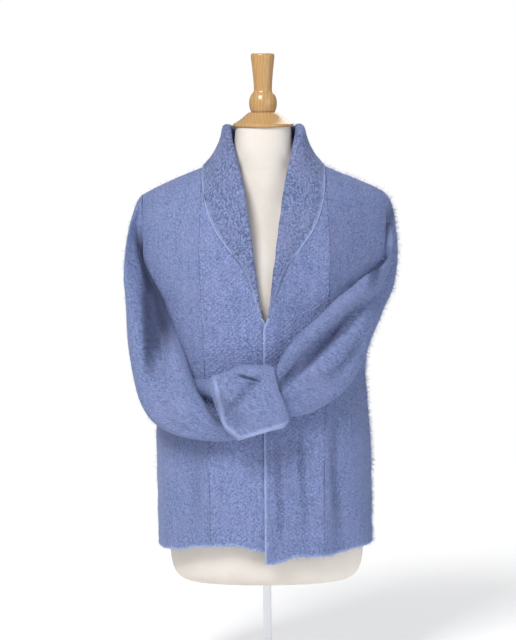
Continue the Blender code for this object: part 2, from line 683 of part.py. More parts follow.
def armhole_ring(flank, thin):
    """Ring of the sleeve's head, just outside the armhole's edge; thin moves it inwards."""
    turn = np.radians(along(SLEEVE_HEAD, "armhole", np.degrees(section_turns())))
    z = (TIP_Z + UNDERARM_Z) / 2 + np.cos(turn) * (TIP_Z - UNDERARM_Z) / 2
    rise = np.clip((z - CHEST_Z) / (TIP_Z - CHEST_Z), 0, 1)
    below = (z - HEM_Z) / (CHEST_Z - HEM_Z)
    level = np.where(z > CHEST_Z, 1 + np.arcsin(rise) / (math.pi / 2), below)
    angle = flank * armhole_angle(flank, level)
    front = body_point(-1, angle, level, BACK_HEM)
    back = body_point(1, angle, level, BACK_HEM)
    ring = np.where(turn[:, None] < math.pi, front, back)
    ring[:, 0] += flank * HEAD_GAP
    inward = unit((ring.mean(0) - ring) * np.array([0, 1, 1]))
    return ring + inward * thin


def section_turns():
    """Turns of a section's points, from the overarm fold over the first face."""
    return 2 * math.pi * np.arange(SLEEVE_SIDES) / SLEEVE_SIDES


def sleeve_travel(rows, index):
    """Direction in which a sleeve runs at a row of its table."""
    before, after = rows[max(index - 1, 0)], rows[min(index + 1, len(rows) - 1)]
    return unit(np.add(after.inner, after.outer) - np.add(before.inner, before.outer))


def sleeve_ring(rows, index, flank, thin):
    """Ring of a sleeve at a row of its table; thin moves it inwards."""
    row = rows[index]
    inner, outer = np.array(row.inner), np.array(row.outer)
    across = outer - inner
    face = unit(flank * np.cross(sleeve_travel(rows, index), across))
    half = np.linalg.norm(across) / 2
    turn = section_turns()
    wide = np.sign(np.cos(turn)) * np.abs(np.cos(turn)) ** (2 / SLEEVE_POWER)
    high = np.sign(np.sin(turn)) * np.abs(np.sin(turn)) ** (2 / SLEEVE_POWER)
    tall = np.where(high > 0, row.face_half, row.back_half) - thin
    off = (wide - row.trough_at) / row.trough_spread
    trough = row.trough_depth * np.exp(-off * off) * np.clip(high, 0, None)
    spread = np.outer(wide, unit(across) * (half - thin))
    return (inner + outer) / 2 + spread + np.outer(high * tall - trough, face)


def hermite(start, end, leave, arrive, t):
    """Point at share t of the smooth curve from start to end."""
    rise = (3 - 2 * t) * t * t
    bend = leave * t * (1 - t) ** 2 - arrive * t * t * (1 - t)
    return start * (1 - rise) + end * rise + bend


def resampled(rings, count):
    """count rings along a smooth curve through the given rings."""
    at = np.linspace(0, len(rings) - 1, count)
    i = np.clip(at.astype(int), 0, len(rings) - 2)
    slopes = np.gradient(rings, axis=0)
    share = (at - i)[:, None, None]
    return hermite(rings[i], rings[i + 1], slopes[i], slopes[i + 1], share)


def way_out_of_body(points, gap):
    """How far the points must move, away from the body's axis, to lie gap outside it."""
    x, y, z = points[..., 0], points[..., 1], points[..., 2]
    rise = np.clip((z - CHEST_Z) / (shoulder_z(x) - CHEST_Z), 0, 0.98)
    edge_z = np.where(z > CHEST_Z, CHEST_Z + rise * (TIP_Z - CHEST_Z), z)
    right = along(BODY, "right_half", edge_z)
    half = np.where(x < 0, right, along(BODY, "left_half", edge_z))
    back = along(BODY, "back_depth", edge_z)
    depth = np.where(y < 0, along(BODY, "front_depth", edge_z), back)
    deep = np.abs(y) / (depth * np.sqrt(1 - rise * rise))
    size = ((np.abs(x) / half) ** RING_POWER + deep**RING_POWER) ** (1 / RING_POWER)
    grow = np.maximum((1 + gap / np.hypot(x, y)) / size, 1) - 1
    return np.stack([x * grow, y * grow, np.zeros(np.shape(x))], -1)


def head_ridge(share, forwards):
    """Forward push of a fold down the front of a sleeve's head, at a share of the head's length."""
    off = (section_turns() - HEAD_RIDGE_TURN) / HEAD_RIDGE_SPREAD
    push = forwards * math.sin(math.pi * share) * np.exp(-off * off)
    return np.outer(push, [0, -1, 0])


def tube_normals(rings):
    """Outward unit normals of a tube's rings."""
    along_it = np.gradient(rings, axis=0)
    round_it = np.roll(rings, -1, axis=1) - np.roll(rings, 1, axis=1)
    normal = unit(np.cross(round_it, along_it))
    outwards = np.sum(normal * (rings - rings.mean(1, keepdims=True)), -1)
    return normal * np.sign(outwards.mean())


def sleeve_wall(flank, rows, count, ridge, thin):
    """Rings of a sleeve, from the armhole through the knot to its cuff; thin moves them inwards."""
    leave = np.array(HEAD_OUTWARD) * np.array([flank, 1, 1])
    arrive = sleeve_travel(rows, 0) * HEAD_PULL
    start = armhole_ring(flank, thin)
    rings = np.array([sleeve_ring(rows, i, flank, thin) for i in range(len(rows))])
    shares = np.arange(HEAD_RINGS) / HEAD_RINGS
    head = [hermite(start, rings[0], leave, arrive, t) + head_ridge(t, ridge) for t in shares]
    return np.concatenate([head, resampled(rings, count)])


def add_sleeve(name, flank, rows, count, ridge, even_ring):
    """A sleeve as a tube, whose wall is of even thickness from its even ring on."""
    outer, inner = (sleeve_wall(flank, rows, count, ridge, thin) for thin in (0.0, CLOTH))
    free = np.minimum(np.arange(HEAD_RINGS + count) / HEAD_RINGS, 1)[:, None, None]
    move = way_out_of_body(outer, SLEEVE_OFF_BODY) * free
    outer, inner = outer + move, inner + move
    inner[even_ring:] = (outer - tube_normals(outer) * CLOTH)[even_ring:]
    return add_wall(name, outer, inner, True, WOOL)


def add_loft(name, rings, finish):
    """A closed solid through rings of points, with both ends closed."""
    count = len(rings[0])
    points = np.concatenate(rings)
    faces = [list(range(count)), [len(points) - count + i for i in range(count)]]
    for r in range(len(rings) - 1):
        for c in range(count):
            a, b = r * count + c, r * count + (c + 1) % count
            faces.append([a, b, b + count, a + count])
    return add_object(name, points, faces, finish)


def form_ring(z, half, front, back):
    """Ring of the form at a height, widened to the neck's root where that is larger."""
    turn = 2 * math.pi * np.arange(FORM_SIDES) / FORM_SIDES
    wide = np.sign(np.cos(turn)) * np.abs(np.cos(turn)) ** (2 / FORM_POWER)
    deep = np.sign(np.sin(turn)) * np.abs(np.sin(turn)) ** (2 / FORM_POWER)
    x, y = half * wide, np.where(deep < 0, front, back) * deep
    if z > NECK_ROOT[0].z:
        root_front, root_back = along(NECK_ROOT, "front", z), along(NECK_ROOT, "back", z)
        root_deep = y / np.where(y < 0, root_front, root_back)
        grow = np.maximum(1, 1 / np.hypot(x / along(NECK_ROOT, "half", z), root_deep))
        x, y = x * grow, y * grow
    return np.stack([x, y, np.full(FORM_SIDES, z)], -1)


def round_ring(radius, z, sides):
    """Round ring at a height."""
    turn = 2 * math.pi * np.arange(sides) / sides
    return np.stack([radius * np.cos(turn), radius * np.sin(turn), np.full(sides, z)], -1)


def add_form(name):
    """The torso of the dress form, with a socket for the pole in its underside."""
    bore = POLE_RADIUS + POLE_CLEARANCE
    lowest = FORM_BELOW_SHOULDER[0]
    rings = [
        round_ring(bore, FORM_BOTTOM_Z + SOCKET_DEPTH, FORM_SIDES),
        round_ring(bore, FORM_BOTTOM_Z, FORM_SIDES),
        form_ring(FORM_BOTTOM_Z, *(size - FORM_RIM for size in lowest[1:])),
    ]
    rings += [form_ring(*row) for row in FORM_BELOW_SHOULDER]
    for row in FORM_SHOULDER:
        z = float(shoulder_z(row.half)) - CLOTH - REST_GAP
        rings.append(form_ring(z, *row))
    rings += [form_ring(*row) for row in FORM_NECK]
    return add_loft(name, rings, JERSEY)


def add_turned(name, profile, finish):
    """A turned solid from its profile, closed at both ends."""
    rings = [round_ring(row.radius, row.z, TURNED_SIDES) for row in profile]
    return add_loft(name, rings, finish)


def add_socket(name):
    """The flange that holds the pole's foot on the base plate."""
    bore = POLE_RADIUS + POLE_CLEARANCE
    profile = SOCKET_OUTER + [
        TurnedRow(bore, SOCKET_OUTER[-1].z),
        TurnedRow(bore, SOCKET_OUTER[0].z),
    ]
    rings = np.array([round_ring(row.radius, row.z, TURNED_SIDES) for row in profile])
    count = len(profile)
    faces = []
    for r in range(count):
        for c in range(TURNED_SIDES):
            n = (c + 1) % TURNED_SIDES
            s = (r + 1) % count
            faces.append(
                [r * TURNED_SIDES + c, r * TURNED_SIDES + n, s * TURNED_SIDES + n, s * TURNED_SIDES + c]
            )
    return add_object(name, rings.reshape(-1, 3), faces, STEEL)


def add_pole(name):
    """The pole from the base plate into the form's socket."""
    foot = BASE_THICKNESS + SEAM_GAP
    head = FORM_BOTTOM_Z + SOCKET_DEPTH - SEAM_GAP
    profile = [
        TurnedRow(POLE_RADIUS, foot),
        TurnedRow(POLE_RADIUS, head - POLE_BEVEL),
        TurnedRow(POLE_RADIUS - POLE_BEVEL, head),
    ]
    return add_turned(name, profile, STEEL)


def clear_scene():
    """Removes what the scene holds."""
    for found in list(bpy.data.objects):
        bpy.data.objects.remove(found, do_unlink=True)


def main():
    """Builds the stand, the form and the cardigan."""
    clear_scene()
    add_turned("base_plate", BASE_PLATE, STEEL)
    add_socket("pole_socket")
    add_pole("pole")
    add_form("form_torso")
    add_turned("neck_cap", NECK_CAP, BEECH)
    add_turned("finial", FINIAL, BEECH)
    add_back("back")
    add_side_front("right_front", -1, RIGHT_HEM)
    add_side_front("left_front", 1, LEFT_HEM)
    add_front_band("right_band", -1, RIGHT_HEM, RIGHT_EDGE_X, 0.0)
    add_front_band("left_band", 1, LEFT_HEM, LEFT_EDGE_X, OVERLAP_LIFT)
    add_collar("shawl_collar")
    right_shape = (RIGHT_SLEEVE, RIGHT_SLEEVE_RINGS, RIGHT_HEAD_RIDGE, RIGHT_EVEN_RING)
    left_shape = (LEFT_SLEEVE, LEFT_SLEEVE_RINGS, LEFT_HEAD_RIDGE, LEFT_EVEN_RING)
    add_sleeve("right_sleeve", -1, *right_shape)
    add_sleeve("left_sleeve", 1, *left_shape)


if __name__ == "__main__":
    main()
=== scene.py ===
"""Brushed-knit cardigan with its sleeves knotted in front, on a dress form.

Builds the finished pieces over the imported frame, and sets the floor, the light and the camera.
Units are metres and +Z is up. The front faces -Y and the wearer's right is -X.
"""

import sys
import logging
import math
from dataclasses import dataclass, field
from enum import Enum
from typing import NamedTuple, Optional, Sequence, Union

import bpy
import numpy as np
from mathutils import Matrix, Vector


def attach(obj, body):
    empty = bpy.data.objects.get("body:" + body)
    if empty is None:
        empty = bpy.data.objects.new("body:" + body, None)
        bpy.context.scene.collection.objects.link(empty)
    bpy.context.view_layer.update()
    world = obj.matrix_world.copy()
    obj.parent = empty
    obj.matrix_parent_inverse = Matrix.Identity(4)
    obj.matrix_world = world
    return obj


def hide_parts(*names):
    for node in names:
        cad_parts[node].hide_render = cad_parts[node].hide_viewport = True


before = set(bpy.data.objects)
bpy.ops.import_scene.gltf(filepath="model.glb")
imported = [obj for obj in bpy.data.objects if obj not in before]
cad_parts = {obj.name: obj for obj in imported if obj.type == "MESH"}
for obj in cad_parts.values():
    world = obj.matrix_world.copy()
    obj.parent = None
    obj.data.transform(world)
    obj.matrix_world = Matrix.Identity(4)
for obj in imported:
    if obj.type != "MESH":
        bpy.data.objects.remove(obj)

# Shares of a grid's step at which its first two rows lie by a cut edge.
NEAR_EDGE = (0.16, 0.48)
# Angle between faces, in degrees, above which a turned edge is sharp.
SHARP_ANGLE = 50
# A point inside the body, from which its cloth faces away.
BODY_MIDDLE = (0.0, 0.0, 0.62)
# Colour of the painted shade that darkens the wool in deep folds and under the arms.
PAINTED_FOLD_SHADE = (0.024, 0.030, 0.072)
# Shares of a crease's length over which it starts and ends, and how squarely the cloth must face
# its side.
CREASE_START, CREASE_END, CREASE_FACING = (-0.18, 0.22), (0.72, 1.18), (0.0, 0.45)
LOG = logging.getLogger("cardigan")
BODY = "root"

Colour = tuple[float, float, float]
Point = tuple[float, float, float]


class Stitch(Enum):
    """The stitch that a piece is knitted in."""

    STOCKING = "stocking"
    MOSS = "moss"


class Hold(Enum):
    """How a sheet of cloth is held."""

    DRAPED = "draped"
    HUNG = "hung"
    FOLDED = "folded"


class Flank(Enum):
    """The wearer's side that a piece is on."""

    RIGHT = -1
    LEFT = 1


class BodyRow(NamedTuple):
    """Half-widths and depths of the cardigan's body at a height."""

    z: float
    right_half: float
    left_half: float
    front_depth: float
    back_depth: float


class SeamRow(NamedTuple):
    """Height of the shoulder seam or of the hem at a distance from the middle."""

    x: float
    z: float


class ArmholeRow(NamedTuple):
    """Distance of the armhole's edge from the middle at a height."""

    z: float
    edge: float


class EdgeRow(NamedTuple):
    """Distance of an edge or seam from the middle at a level of the body."""

    level: float
    x: float


class FoldRow(NamedTuple):
    """A soft fold of the body: side, angle and spread in degrees, depth outwards, and its top."""

    side: int
    angle: float
    spread: float
    depth: float
    top_z: float


class CollarRow(NamedTuple):
    """A section of one half of the collar."""

    at: float
    seam: float
    roll_x: float
    roll_y: float
    roll_z: float
    radius: float
    edge_x: float
    edge_y: float
    edge_z: float
    puff: float


class HeadRow(NamedTuple):
    """Turn round the armhole that a turn of a sleeve's section starts at, in degrees."""

    section: float
    armhole: float


class SleeveRow(NamedTuple):
    """A section of a sleeve between its underarm fold (inner) and its overarm fold (outer)."""

    inner: Point
    outer: Point
    face_half: float
    back_half: float
    trough_at: float = 0.0
    trough_depth: float = 0.0
    trough_spread: float = 1.0


class FormRow(NamedTuple):
    """A ring of the dress form."""

    z: float
    half: float
    front: float
    back: float


class TurnedRow(NamedTuple):
    """A step of a turned profile."""

    radius: float
    z: float


class Crease(NamedTuple):
    """A soft trough (depth below 0) or ridge seen from the front (side -1) or the back (+1).

    It runs from (x0, z0) to (x1, z1) and bows sideways by bow at its middle. It moves and tones
    only the cloth whose y is below nearer. Its shade paints shade into the wool's colour, as falls in
    deep folds, or paints a highlight on it if shade is below 0, as falls on rolled edges. The painted
    tone reaches cloth of every facing.
    """

    side: int
    x0: float
    z0: float
    x1: float
    z1: float
    bow: float
    width: float
    depth: float
    nearer: float = 1.0
    shade: float = 0.0



def table(kind: type, *rows: tuple) -> tuple:
    """Returns rows of plain numbers as rows of a kind."""
    return tuple(kind(*row) for row in rows)


BODY_ROWS = table(
    BodyRow,
    (0.225, 0.205, 0.201, 0.137, 0.134),
    (0.330, 0.207, 0.201, 0.138, 0.136),
    (0.460, 0.208, 0.198, 0.134, 0.130),
    (0.600, 0.204, 0.191, 0.129, 0.119),
    (0.710, 0.210, 0.210, 0.126, 0.112),
    (0.750, 0.227, 0.227, 0.125, 0.110),
    (0.800, 0.240, 0.240, 0.124, 0.110),
    (0.912, 0.240, 0.240, 0.120, 0.110),
)
SHOULDER = table(
    SeamRow,
    (0.000, 1.002), (0.080, 0.978), (0.116, 0.963), (0.149, 0.949), (0.178, 0.937), (0.205, 0.925),
    (0.240, 0.906),
)
ARMHOLE = table(
    ArmholeRow,
    (0.710, 0.2100), (0.735, 0.2185), (0.760, 0.2230), (0.800, 0.2270), (0.860, 0.2290),
    (0.912, 0.2290),
)
RIGHT_HEM = table(
    SeamRow,
    (0.000, 0.248), (0.050, 0.259), (0.134, 0.256), (0.180, 0.249), (0.210, 0.246),
)
LEFT_HEM = table(
    SeamRow,
    (0.000, 0.229), (0.015, 0.229), (0.060, 0.239), (0.118, 0.239), (0.180, 0.250), (0.210, 0.246),
)
BACK_HEM = table(
    SeamRow,
    (0.000, 0.240), (0.080, 0.243), (0.150, 0.240), (0.210, 0.246),
)
BAND_SEAM = table(
    EdgeRow,
    (0.00, 0.105), (0.35, 0.108), (0.75, 0.116), (1.00, 0.121), (1.40, 0.118), (2.00, 0.114),
)
NECK_EDGE = table(
    EdgeRow,
    (0.830, 0.0095), (0.880, 0.0170), (0.980, 0.0335), (1.170, 0.0450), (1.360, 0.0530),
    (1.600, 0.0630), (1.850, 0.0740), (2.000, 0.0800),
)
FOLDS = table(
    FoldRow,
    (-1, -62, 9, 0.0050, 0.62),
    (-1, -40, 8, -0.0035, 0.58),
    (-1, -19, 8, -0.0030, 0.50),
    (-1, 15, 6, -0.0060, 0.52),
    (-1, 27, 6, 0.0050, 0.54),
    (-1, 38, 6, -0.0050, 0.56),
    (-1, 56, 9, 0.0050, 0.60),
    (1, -58, 9, 0.0060, 0.66),
    (1, -36, 8, -0.0055, 0.62),
    (1, -12, 9, 0.0050, 0.58),
    (1, 13, 8, -0.0045, 0.64),
    (1, 38, 9, 0.0060, 0.60),
    (1, 62, 8, -0.0045, 0.66),
)
COLLAR = table(
    CollarRow,
    (0.0, 0.000, 0.0000, 0.0670, 1.035, 0.0080, 0.0000, 0.0880, 0.946, 0.001),
    (0.1, 0.180, 0.0360, 0.0570, 1.037, 0.0080, 0.0610, 0.0790, 0.947, 0.000),
    (0.2, 0.340, 0.0580, 0.0310, 1.039, 0.0085, 0.1030, 0.0500, 0.953, -0.005),
    (0.3, 0.500, 0.0655, 0.0000, 1.042, 0.0090, 0.1140, 0.0000, 0.9675, -0.008),
    (0.4, 0.570, 0.0620, -0.0270, 1.024, 0.0080, 0.1160, -0.0540, 0.947, -0.006),
    (0.5, 0.640, 0.0530, -0.0520, 0.990, 0.0062, 0.1130, -0.0830, 0.917, -0.001),
    (0.6, 0.710, 0.0425, -0.0760, 0.950, 0.0050, 0.1060, -0.1000, 0.884, 0.002),
    (0.7, 0.790, 0.0335, -0.0980, 0.902, 0.0042, 0.0910, -0.1120, 0.849, 0.002),
    (0.8, 0.860, 0.0265, -0.1120, 0.851, 0.0036, 0.0650, -0.1200, 0.812, 0.002),
    (0.9, 0.930, 0.0190, -0.1220, 0.790, 0.0032, 0.0380, -0.1240, 0.775, 0.001),
    (1.0, 0.985, 0.0110, -0.1250, 0.722, 0.0030, 0.0180, -0.1250, 0.724, 0.000),
)
SLEEVE_HEAD = table(
    HeadRow,
    (0, 0), (90, 48), (180, 102), (270, 182), (318, 262), (360, 360),
)
RIGHT_SLEEVE = table(
    SleeveRow,
    ((-0.1860, -0.081, 0.709), (-0.2500, -0.052, 0.724), 0.066, 0.014, -0.55, 0.062, 0.72),
    ((-0.1710, -0.097, 0.668), (-0.2515, -0.060, 0.676), 0.056, 0.012, -0.50, 0.052, 0.62),
    ((-0.1530, -0.116, 0.631), (-0.2505, -0.072, 0.630), 0.044, 0.010, -0.25, 0.038, 0.45),
    ((-0.1400, -0.135, 0.592), (-0.2450, -0.088, 0.582), 0.033, 0.009, 0.00, 0.024, 0.36),
    ((-0.1270, -0.148, 0.558), (-0.2330, -0.102, 0.534), 0.028, 0.009, 0.20, 0.009, 0.34),
    ((-0.1090, -0.154, 0.530), (-0.2110, -0.120, 0.496), 0.025, 0.009),
    ((-0.0980, -0.155, 0.511), (-0.1720, -0.134, 0.474), 0.020, 0.010),
    ((-0.0880, -0.155, 0.498), (-0.1280, -0.146, 0.466), 0.015, 0.010),
    ((-0.0780, -0.153, 0.495), (-0.0860, -0.149, 0.462), 0.011, 0.010),
    ((-0.0660, -0.149, 0.503), (-0.0500, -0.147, 0.466), 0.009, 0.009),
    ((-0.0570, -0.144, 0.521), (-0.0220, -0.143, 0.487), 0.0075, 0.0075),
    ((-0.0530, -0.142, 0.545), (-0.0040, -0.142, 0.522), 0.0065, 0.0065),
    ((-0.0520, -0.142, 0.570), (0.0070, -0.142, 0.558), 0.0065, 0.0065),
    ((-0.0520, -0.1435, 0.586), (0.0120, -0.1435, 0.583), 0.0065, 0.0065),
    ((-0.0525, -0.151, 0.597), (0.0140, -0.151, 0.596), 0.0065, 0.0065),
    ((-0.0545, -0.162, 0.601), (0.0150, -0.162, 0.600), 0.0065, 0.0070),
    ((-0.0600, -0.173, 0.599), (0.0165, -0.174, 0.595), 0.0065, 0.0075),
    ((-0.0820, -0.1805, 0.593), (0.0195, -0.1805, 0.580), 0.0065, 0.0080),
    ((-0.1055, -0.1825, 0.583), (0.0240, -0.1825, 0.562), 0.0070, 0.0085),
    ((-0.1010, -0.1835, 0.556), (0.0310, -0.1835, 0.541), 0.0080, 0.0090),
    ((-0.0850, -0.1845, 0.512), (0.0400, -0.1845, 0.520), 0.0085, 0.0095),
    ((-0.0660, -0.1850, 0.466), (0.0480, -0.1850, 0.498), 0.0085, 0.0095),
)
LEFT_SLEEVE = table(
    SleeveRow,
    ((0.1710, -0.119, 0.748), (0.2180, -0.018, 0.713), 0.030, 0.012, -0.10, 0.008, 0.30),
    ((0.1400, -0.132, 0.729), (0.2060, -0.051, 0.674), 0.027, 0.009, -0.25, 0.011, 0.28),
    ((0.1120, -0.141, 0.704), (0.1930, -0.083, 0.640), 0.025, 0.009, -0.35, 0.014, 0.26),
    ((0.0840, -0.149, 0.681), (0.1810, -0.105, 0.608), 0.024, 0.009, -0.42, 0.017, 0.25),
    ((0.0580, -0.155, 0.657), (0.1640, -0.123, 0.577), 0.022, 0.009, -0.45, 0.018, 0.25),
    ((0.0400, -0.159, 0.634), (0.1400, -0.138, 0.549), 0.018, 0.009, -0.45, 0.015, 0.26),
    ((0.0260, -0.161, 0.610), (0.1080, -0.148, 0.527), 0.013, 0.009, -0.42, 0.009, 0.28),
    ((0.0140, -0.162, 0.591), (0.0700, -0.156, 0.512), 0.0095, 0.0090),
    ((-0.0020, -0.163, 0.583), (0.0300, -0.160, 0.508), 0.0085, 0.0085),
    ((-0.0210, -0.163, 0.580), (-0.0050, -0.162, 0.514), 0.0085, 0.0085),
    ((-0.0410, -0.163, 0.579), (-0.0400, -0.162, 0.524), 0.0085, 0.0085),
    ((-0.0630, -0.161, 0.578), (-0.0680, -0.160, 0.532), 0.0080, 0.0080),
    ((-0.0850, -0.153, 0.578), (-0.0880, -0.153, 0.538), 0.0075, 0.0075),
    ((-0.1050, -0.140, 0.577), (-0.1040, -0.140, 0.545), 0.0070, 0.0070),
    ((-0.1230, -0.129, 0.576), (-0.1200, -0.129, 0.548), 0.0065, 0.0065),
    ((-0.1420, -0.120, 0.575), (-0.1380, -0.120, 0.549), 0.0065, 0.0065),
)
FORM_ROWS = table(
    FormRow,
    (0.184, 0.168, 0.100, 0.102),
    (0.196, 0.177, 0.107, 0.109),
    (0.218, 0.183, 0.112, 0.114),
    (0.260, 0.186, 0.115, 0.118),
    (0.310, 0.186, 0.116, 0.120),
    (0.370, 0.178, 0.111, 0.117),
    (0.430, 0.160, 0.101, 0.105),
    (0.490, 0.141, 0.091, 0.090),
    (0.540, 0.134, 0.088, 0.081),
    (0.600, 0.141, 0.096, 0.081),
    (0.660, 0.152, 0.107, 0.086),
    (0.715, 0.161, 0.113, 0.091),
    (0.770, 0.169, 0.110, 0.095),
    (0.820, 0.178, 0.098, 0.095),
    (0.865, 0.187, 0.080, 0.087),
    (0.900, 0.192, 0.061, 0.072),
    (0.916, 0.192, 0.044, 0.050),
    (0.9331, 0.180, 0.033, 0.037),
    (0.9414, 0.160, 0.025, 0.026),
    (0.9515, 0.136, 0.021, 0.021),
    (0.9617, 0.112, 0.021, 0.021),
    (0.9640, 0.092, 0.038, 0.040),
    (0.972, 0.074, 0.046, 0.047),
    (0.986, 0.0625, 0.0515, 0.0520),
    (1.004, 0.0560, 0.0535, 0.0535),
    (1.022, 0.0530, 0.0530, 0.0530),
    (1.0385, 0.0515, 0.0515, 0.0515),
)
NECK_ROOT = table(
    FormRow,
    (0.865, 0.090, 0.080, 0.085),
    (0.900, 0.088, 0.068, 0.073),
    (0.916, 0.085, 0.064, 0.0665),
    (0.933, 0.079, 0.060, 0.0605),
    (0.950, 0.071, 0.0565, 0.0570),
    (0.972, 0.0615, 0.0545, 0.055),
    (1.004, 0.0560, 0.0535, 0.0535),
    (1.0385, 0.0515, 0.0515, 0.0515),
)
NECK_CAP = table(
    TurnedRow,
    (0.0560, 1.0390), (0.0572, 1.0402), (0.0572, 1.0432), (0.0560, 1.0446), (0.0500, 1.0475),
    (0.0420, 1.0530), (0.0345, 1.0595), (0.0285, 1.0645), (0.0255, 1.0660),
)
FINIAL = table(
    TurnedRow,
    (0.0222, 1.0663), (0.0236, 1.0685), (0.0256, 1.0750), (0.0264, 1.0830), (0.0256, 1.0905),
    (0.0226, 1.0985), (0.0180, 1.1035), (0.0168, 1.1070), (0.0176, 1.1230), (0.0194, 1.1440),
    (0.0214, 1.1620), (0.0224, 1.1700), (0.0218, 1.1745), (0.0200, 1.1762),
)
BASE_PLATE = table(
    TurnedRow,
    (0.1485, 0.0), (0.1500, 0.0015), (0.1500, 0.0070), (0.1470, 0.0102), (0.1420, 0.0120),
)
SOCKET = table(
    TurnedRow,
    (0.0300, 0.0123), (0.0300, 0.0165), (0.0280, 0.0185), (0.0160, 0.0230), (0.0130, 0.0280),
    (0.0130, 0.0450), (0.0118, 0.0465), (0.0083, 0.0465),
)
POLE = table(
    TurnedRow,
    (0.0080, 0.0123), (0.0080, 0.2167), (0.0070, 0.2177),
)
BACK_CREASES = table(
    Crease,
    (1, -0.175, 0.800, -0.040, 0.600, 0.012, 0.014, -0.0045),
    (1, 0.172, 0.790, 0.050, 0.580, -0.012, 0.015, -0.0045),
    (1, -0.120, 0.520, -0.098, 0.290, 0.006, 0.012, -0.0040),
    (1, 0.085, 0.540, 0.112, 0.280, -0.006, 0.013, -0.0040),
    (1, -0.015, 0.900, 0.030, 0.700, 0.008, 0.012, -0.0030),
    (1, -0.150, 0.690, -0.060, 0.640, 0.008, 0.010, 0.0030),
    (1, 0.155, 0.670, 0.070, 0.610, -0.008, 0.010, 0.0030),
)
# Creases of the right sleeve. Their last column paints shade into the wool (above 0) or a highlight
# (below 0): painted shade in the slit and the dent of the cuff's flap, painted highlights along the
# flap's rolled edges, and, in the last four rows, a painted dark wedge of shade under the arm.
RIGHT_SLEEVE_CREASES = table(
    Crease,
    (-1, -0.012, 0.588, -0.074, 0.517, 0.000, 0.0075, -0.0055, -0.172, 0.34),
    (-1, -0.092, 0.552, -0.036, 0.498, 0.004, 0.0150, -0.0040, -0.172, 0.30),
    (-1, -0.0945, 0.588, -0.0755, 0.490, 0.000, 0.0038, 0.0008, -0.172, -0.60),
    (-1, -0.081, 0.506, -0.042, 0.472, 0.002, 0.0036, 0.0008, -0.172, -0.60),
    (-1, -0.056, 0.472, 0.050, 0.505, 0.000, 0.0030, 0.0008, -0.172, -0.55),
    (-1, -0.050, 0.591, -0.010, 0.579, 0.000, 0.0036, -0.0030, -0.172, 0.80),
    (-1, -0.004, 0.592, 0.036, 0.507, 0.000, 0.0090, 0.0045, -0.172),
    (-1, -0.200, 0.520, -0.130, 0.480, 0.006, 0.0080, -0.0035, -0.100),
    (-1, -0.165, 0.590, -0.115, 0.505, -0.005, 0.0075, -0.0030, -0.100),
    (1, -0.242, 0.840, -0.244, 0.720, 0.004, 0.0110, -0.0040),
    (-1, -0.236, 0.842, -0.207, 0.705, 0.000, 0.0105, 0.0, 0.0, 0.94),
    (-1, -0.206, 0.730, -0.204, 0.615, 0.000, 0.0130, 0.0, 0.0, 0.76),
    (-1, -0.212, 0.775, -0.182, 0.640, 0.000, 0.0165, 0.0, 0.0, 0.88),
    (-1, -0.219, 0.760, -0.213, 0.590, 0.000, 0.0125, -0.0020, 0.0, 0.80),
)
# Creases of the left sleeve. Their last column paints shade into the wool along the trough under the
# sleeve's ridge, and, in the last row, a painted dark wedge of shade under its arm.
LEFT_SLEEVE_CREASES = table(
    Crease,
    (-1, 0.020, 0.562, 0.172, 0.698, 0.000, 0.0095, -0.0090, -0.060, 0.52),
    (-1, 0.110, 0.572, 0.180, 0.646, 0.004, 0.0090, -0.0045, -0.050, 0.22),
    (-1, 0.030, 0.606, 0.150, 0.722, 0.000, 0.0100, 0.0045, -0.080),
    (1, 0.242, 0.840, 0.240, 0.730, -0.004, 0.0110, -0.0040),
    (-1, 0.238, 0.885, 0.198, 0.745, 0.000, 0.0100, 0.0, 0.0, 0.75),
)
# Creases of the fronts and the left band. Their last column paints shade into the soft folds by the
# hem; the left front's first, with no depth, paints shade over the upper left chest, away from the
# key light.
RIGHT_FRONT_CREASES = table(
    Crease,
    (-1, -0.126, 0.480, -0.138, 0.290, 0.000, 0.0100, -0.0030, 1.0, 0.10),
)
LEFT_FRONT_CREASES = table(
    Crease,
    (-1, 0.165, 0.900, 0.120, 0.720, 0.000, 0.0500, 0.0, 1.0, 0.17),
    (-1, 0.128, 0.490, 0.136, 0.290, 0.004, 0.0080, -0.0035, 1.0, 0.20),
)
LEFT_BAND_CREASES = table(
    Crease,
    (-1, 0.020, 0.470, 0.028, 0.290, 0.002, 0.0075, -0.0030, 1.0, 0.26),
    (-1, 0.062, 0.480, 0.074, 0.280, 0.000, 0.0070, -0.0035, 1.0, 0.20),
)


def along(rows: Sequence[NamedTuple], column: str, at: np.ndarray) -> np.ndarray:
    """Smooth value of a table's column.

    Args:
        rows: the table, sorted by its first column.
        column: name of the column to read.
        at: values of the first column.

    Returns:
        The column's value at each of them.
    """
    keys = np.array([row[0] for row in rows])
    values = np.array([getattr(row, column) for row in rows])
    slopes = np.gradient(values, keys)
    at = np.clip(at, keys[0], keys[-1])
    i = np.clip(np.searchsorted(keys, at) - 1, 0, len(keys) - 2)
    span = keys[i + 1] - keys[i]
    t = (at - keys[i]) / span
    rise = (3 - 2 * t) * t * t
    bend = slopes[i] * t * (1 - t) ** 2 - slopes[i + 1] * t * t * (1 - t)
    return values[i] * (1 - rise) + values[i + 1] * rise + bend * span


def smooth_step(start: float, end: float, at: np.ndarray) -> np.ndarray:
    """Returns 0 before start, 1 after end, and a soft change between them."""
    t = np.clip((at - start) / (end - start), 0.0, 1.0)
    return t * t * (3 - 2 * t)


def unit(vectors: np.ndarray) -> np.ndarray:
    """Returns the vectors at length 1."""
    return vectors / np.maximum(np.linalg.norm(vectors, axis=-1, keepdims=True), 1e-12)


def turns(sides: int) -> np.ndarray:
    """Returns the angles of a ring's points."""
    return 2 * math.pi * np.arange(sides) / sides


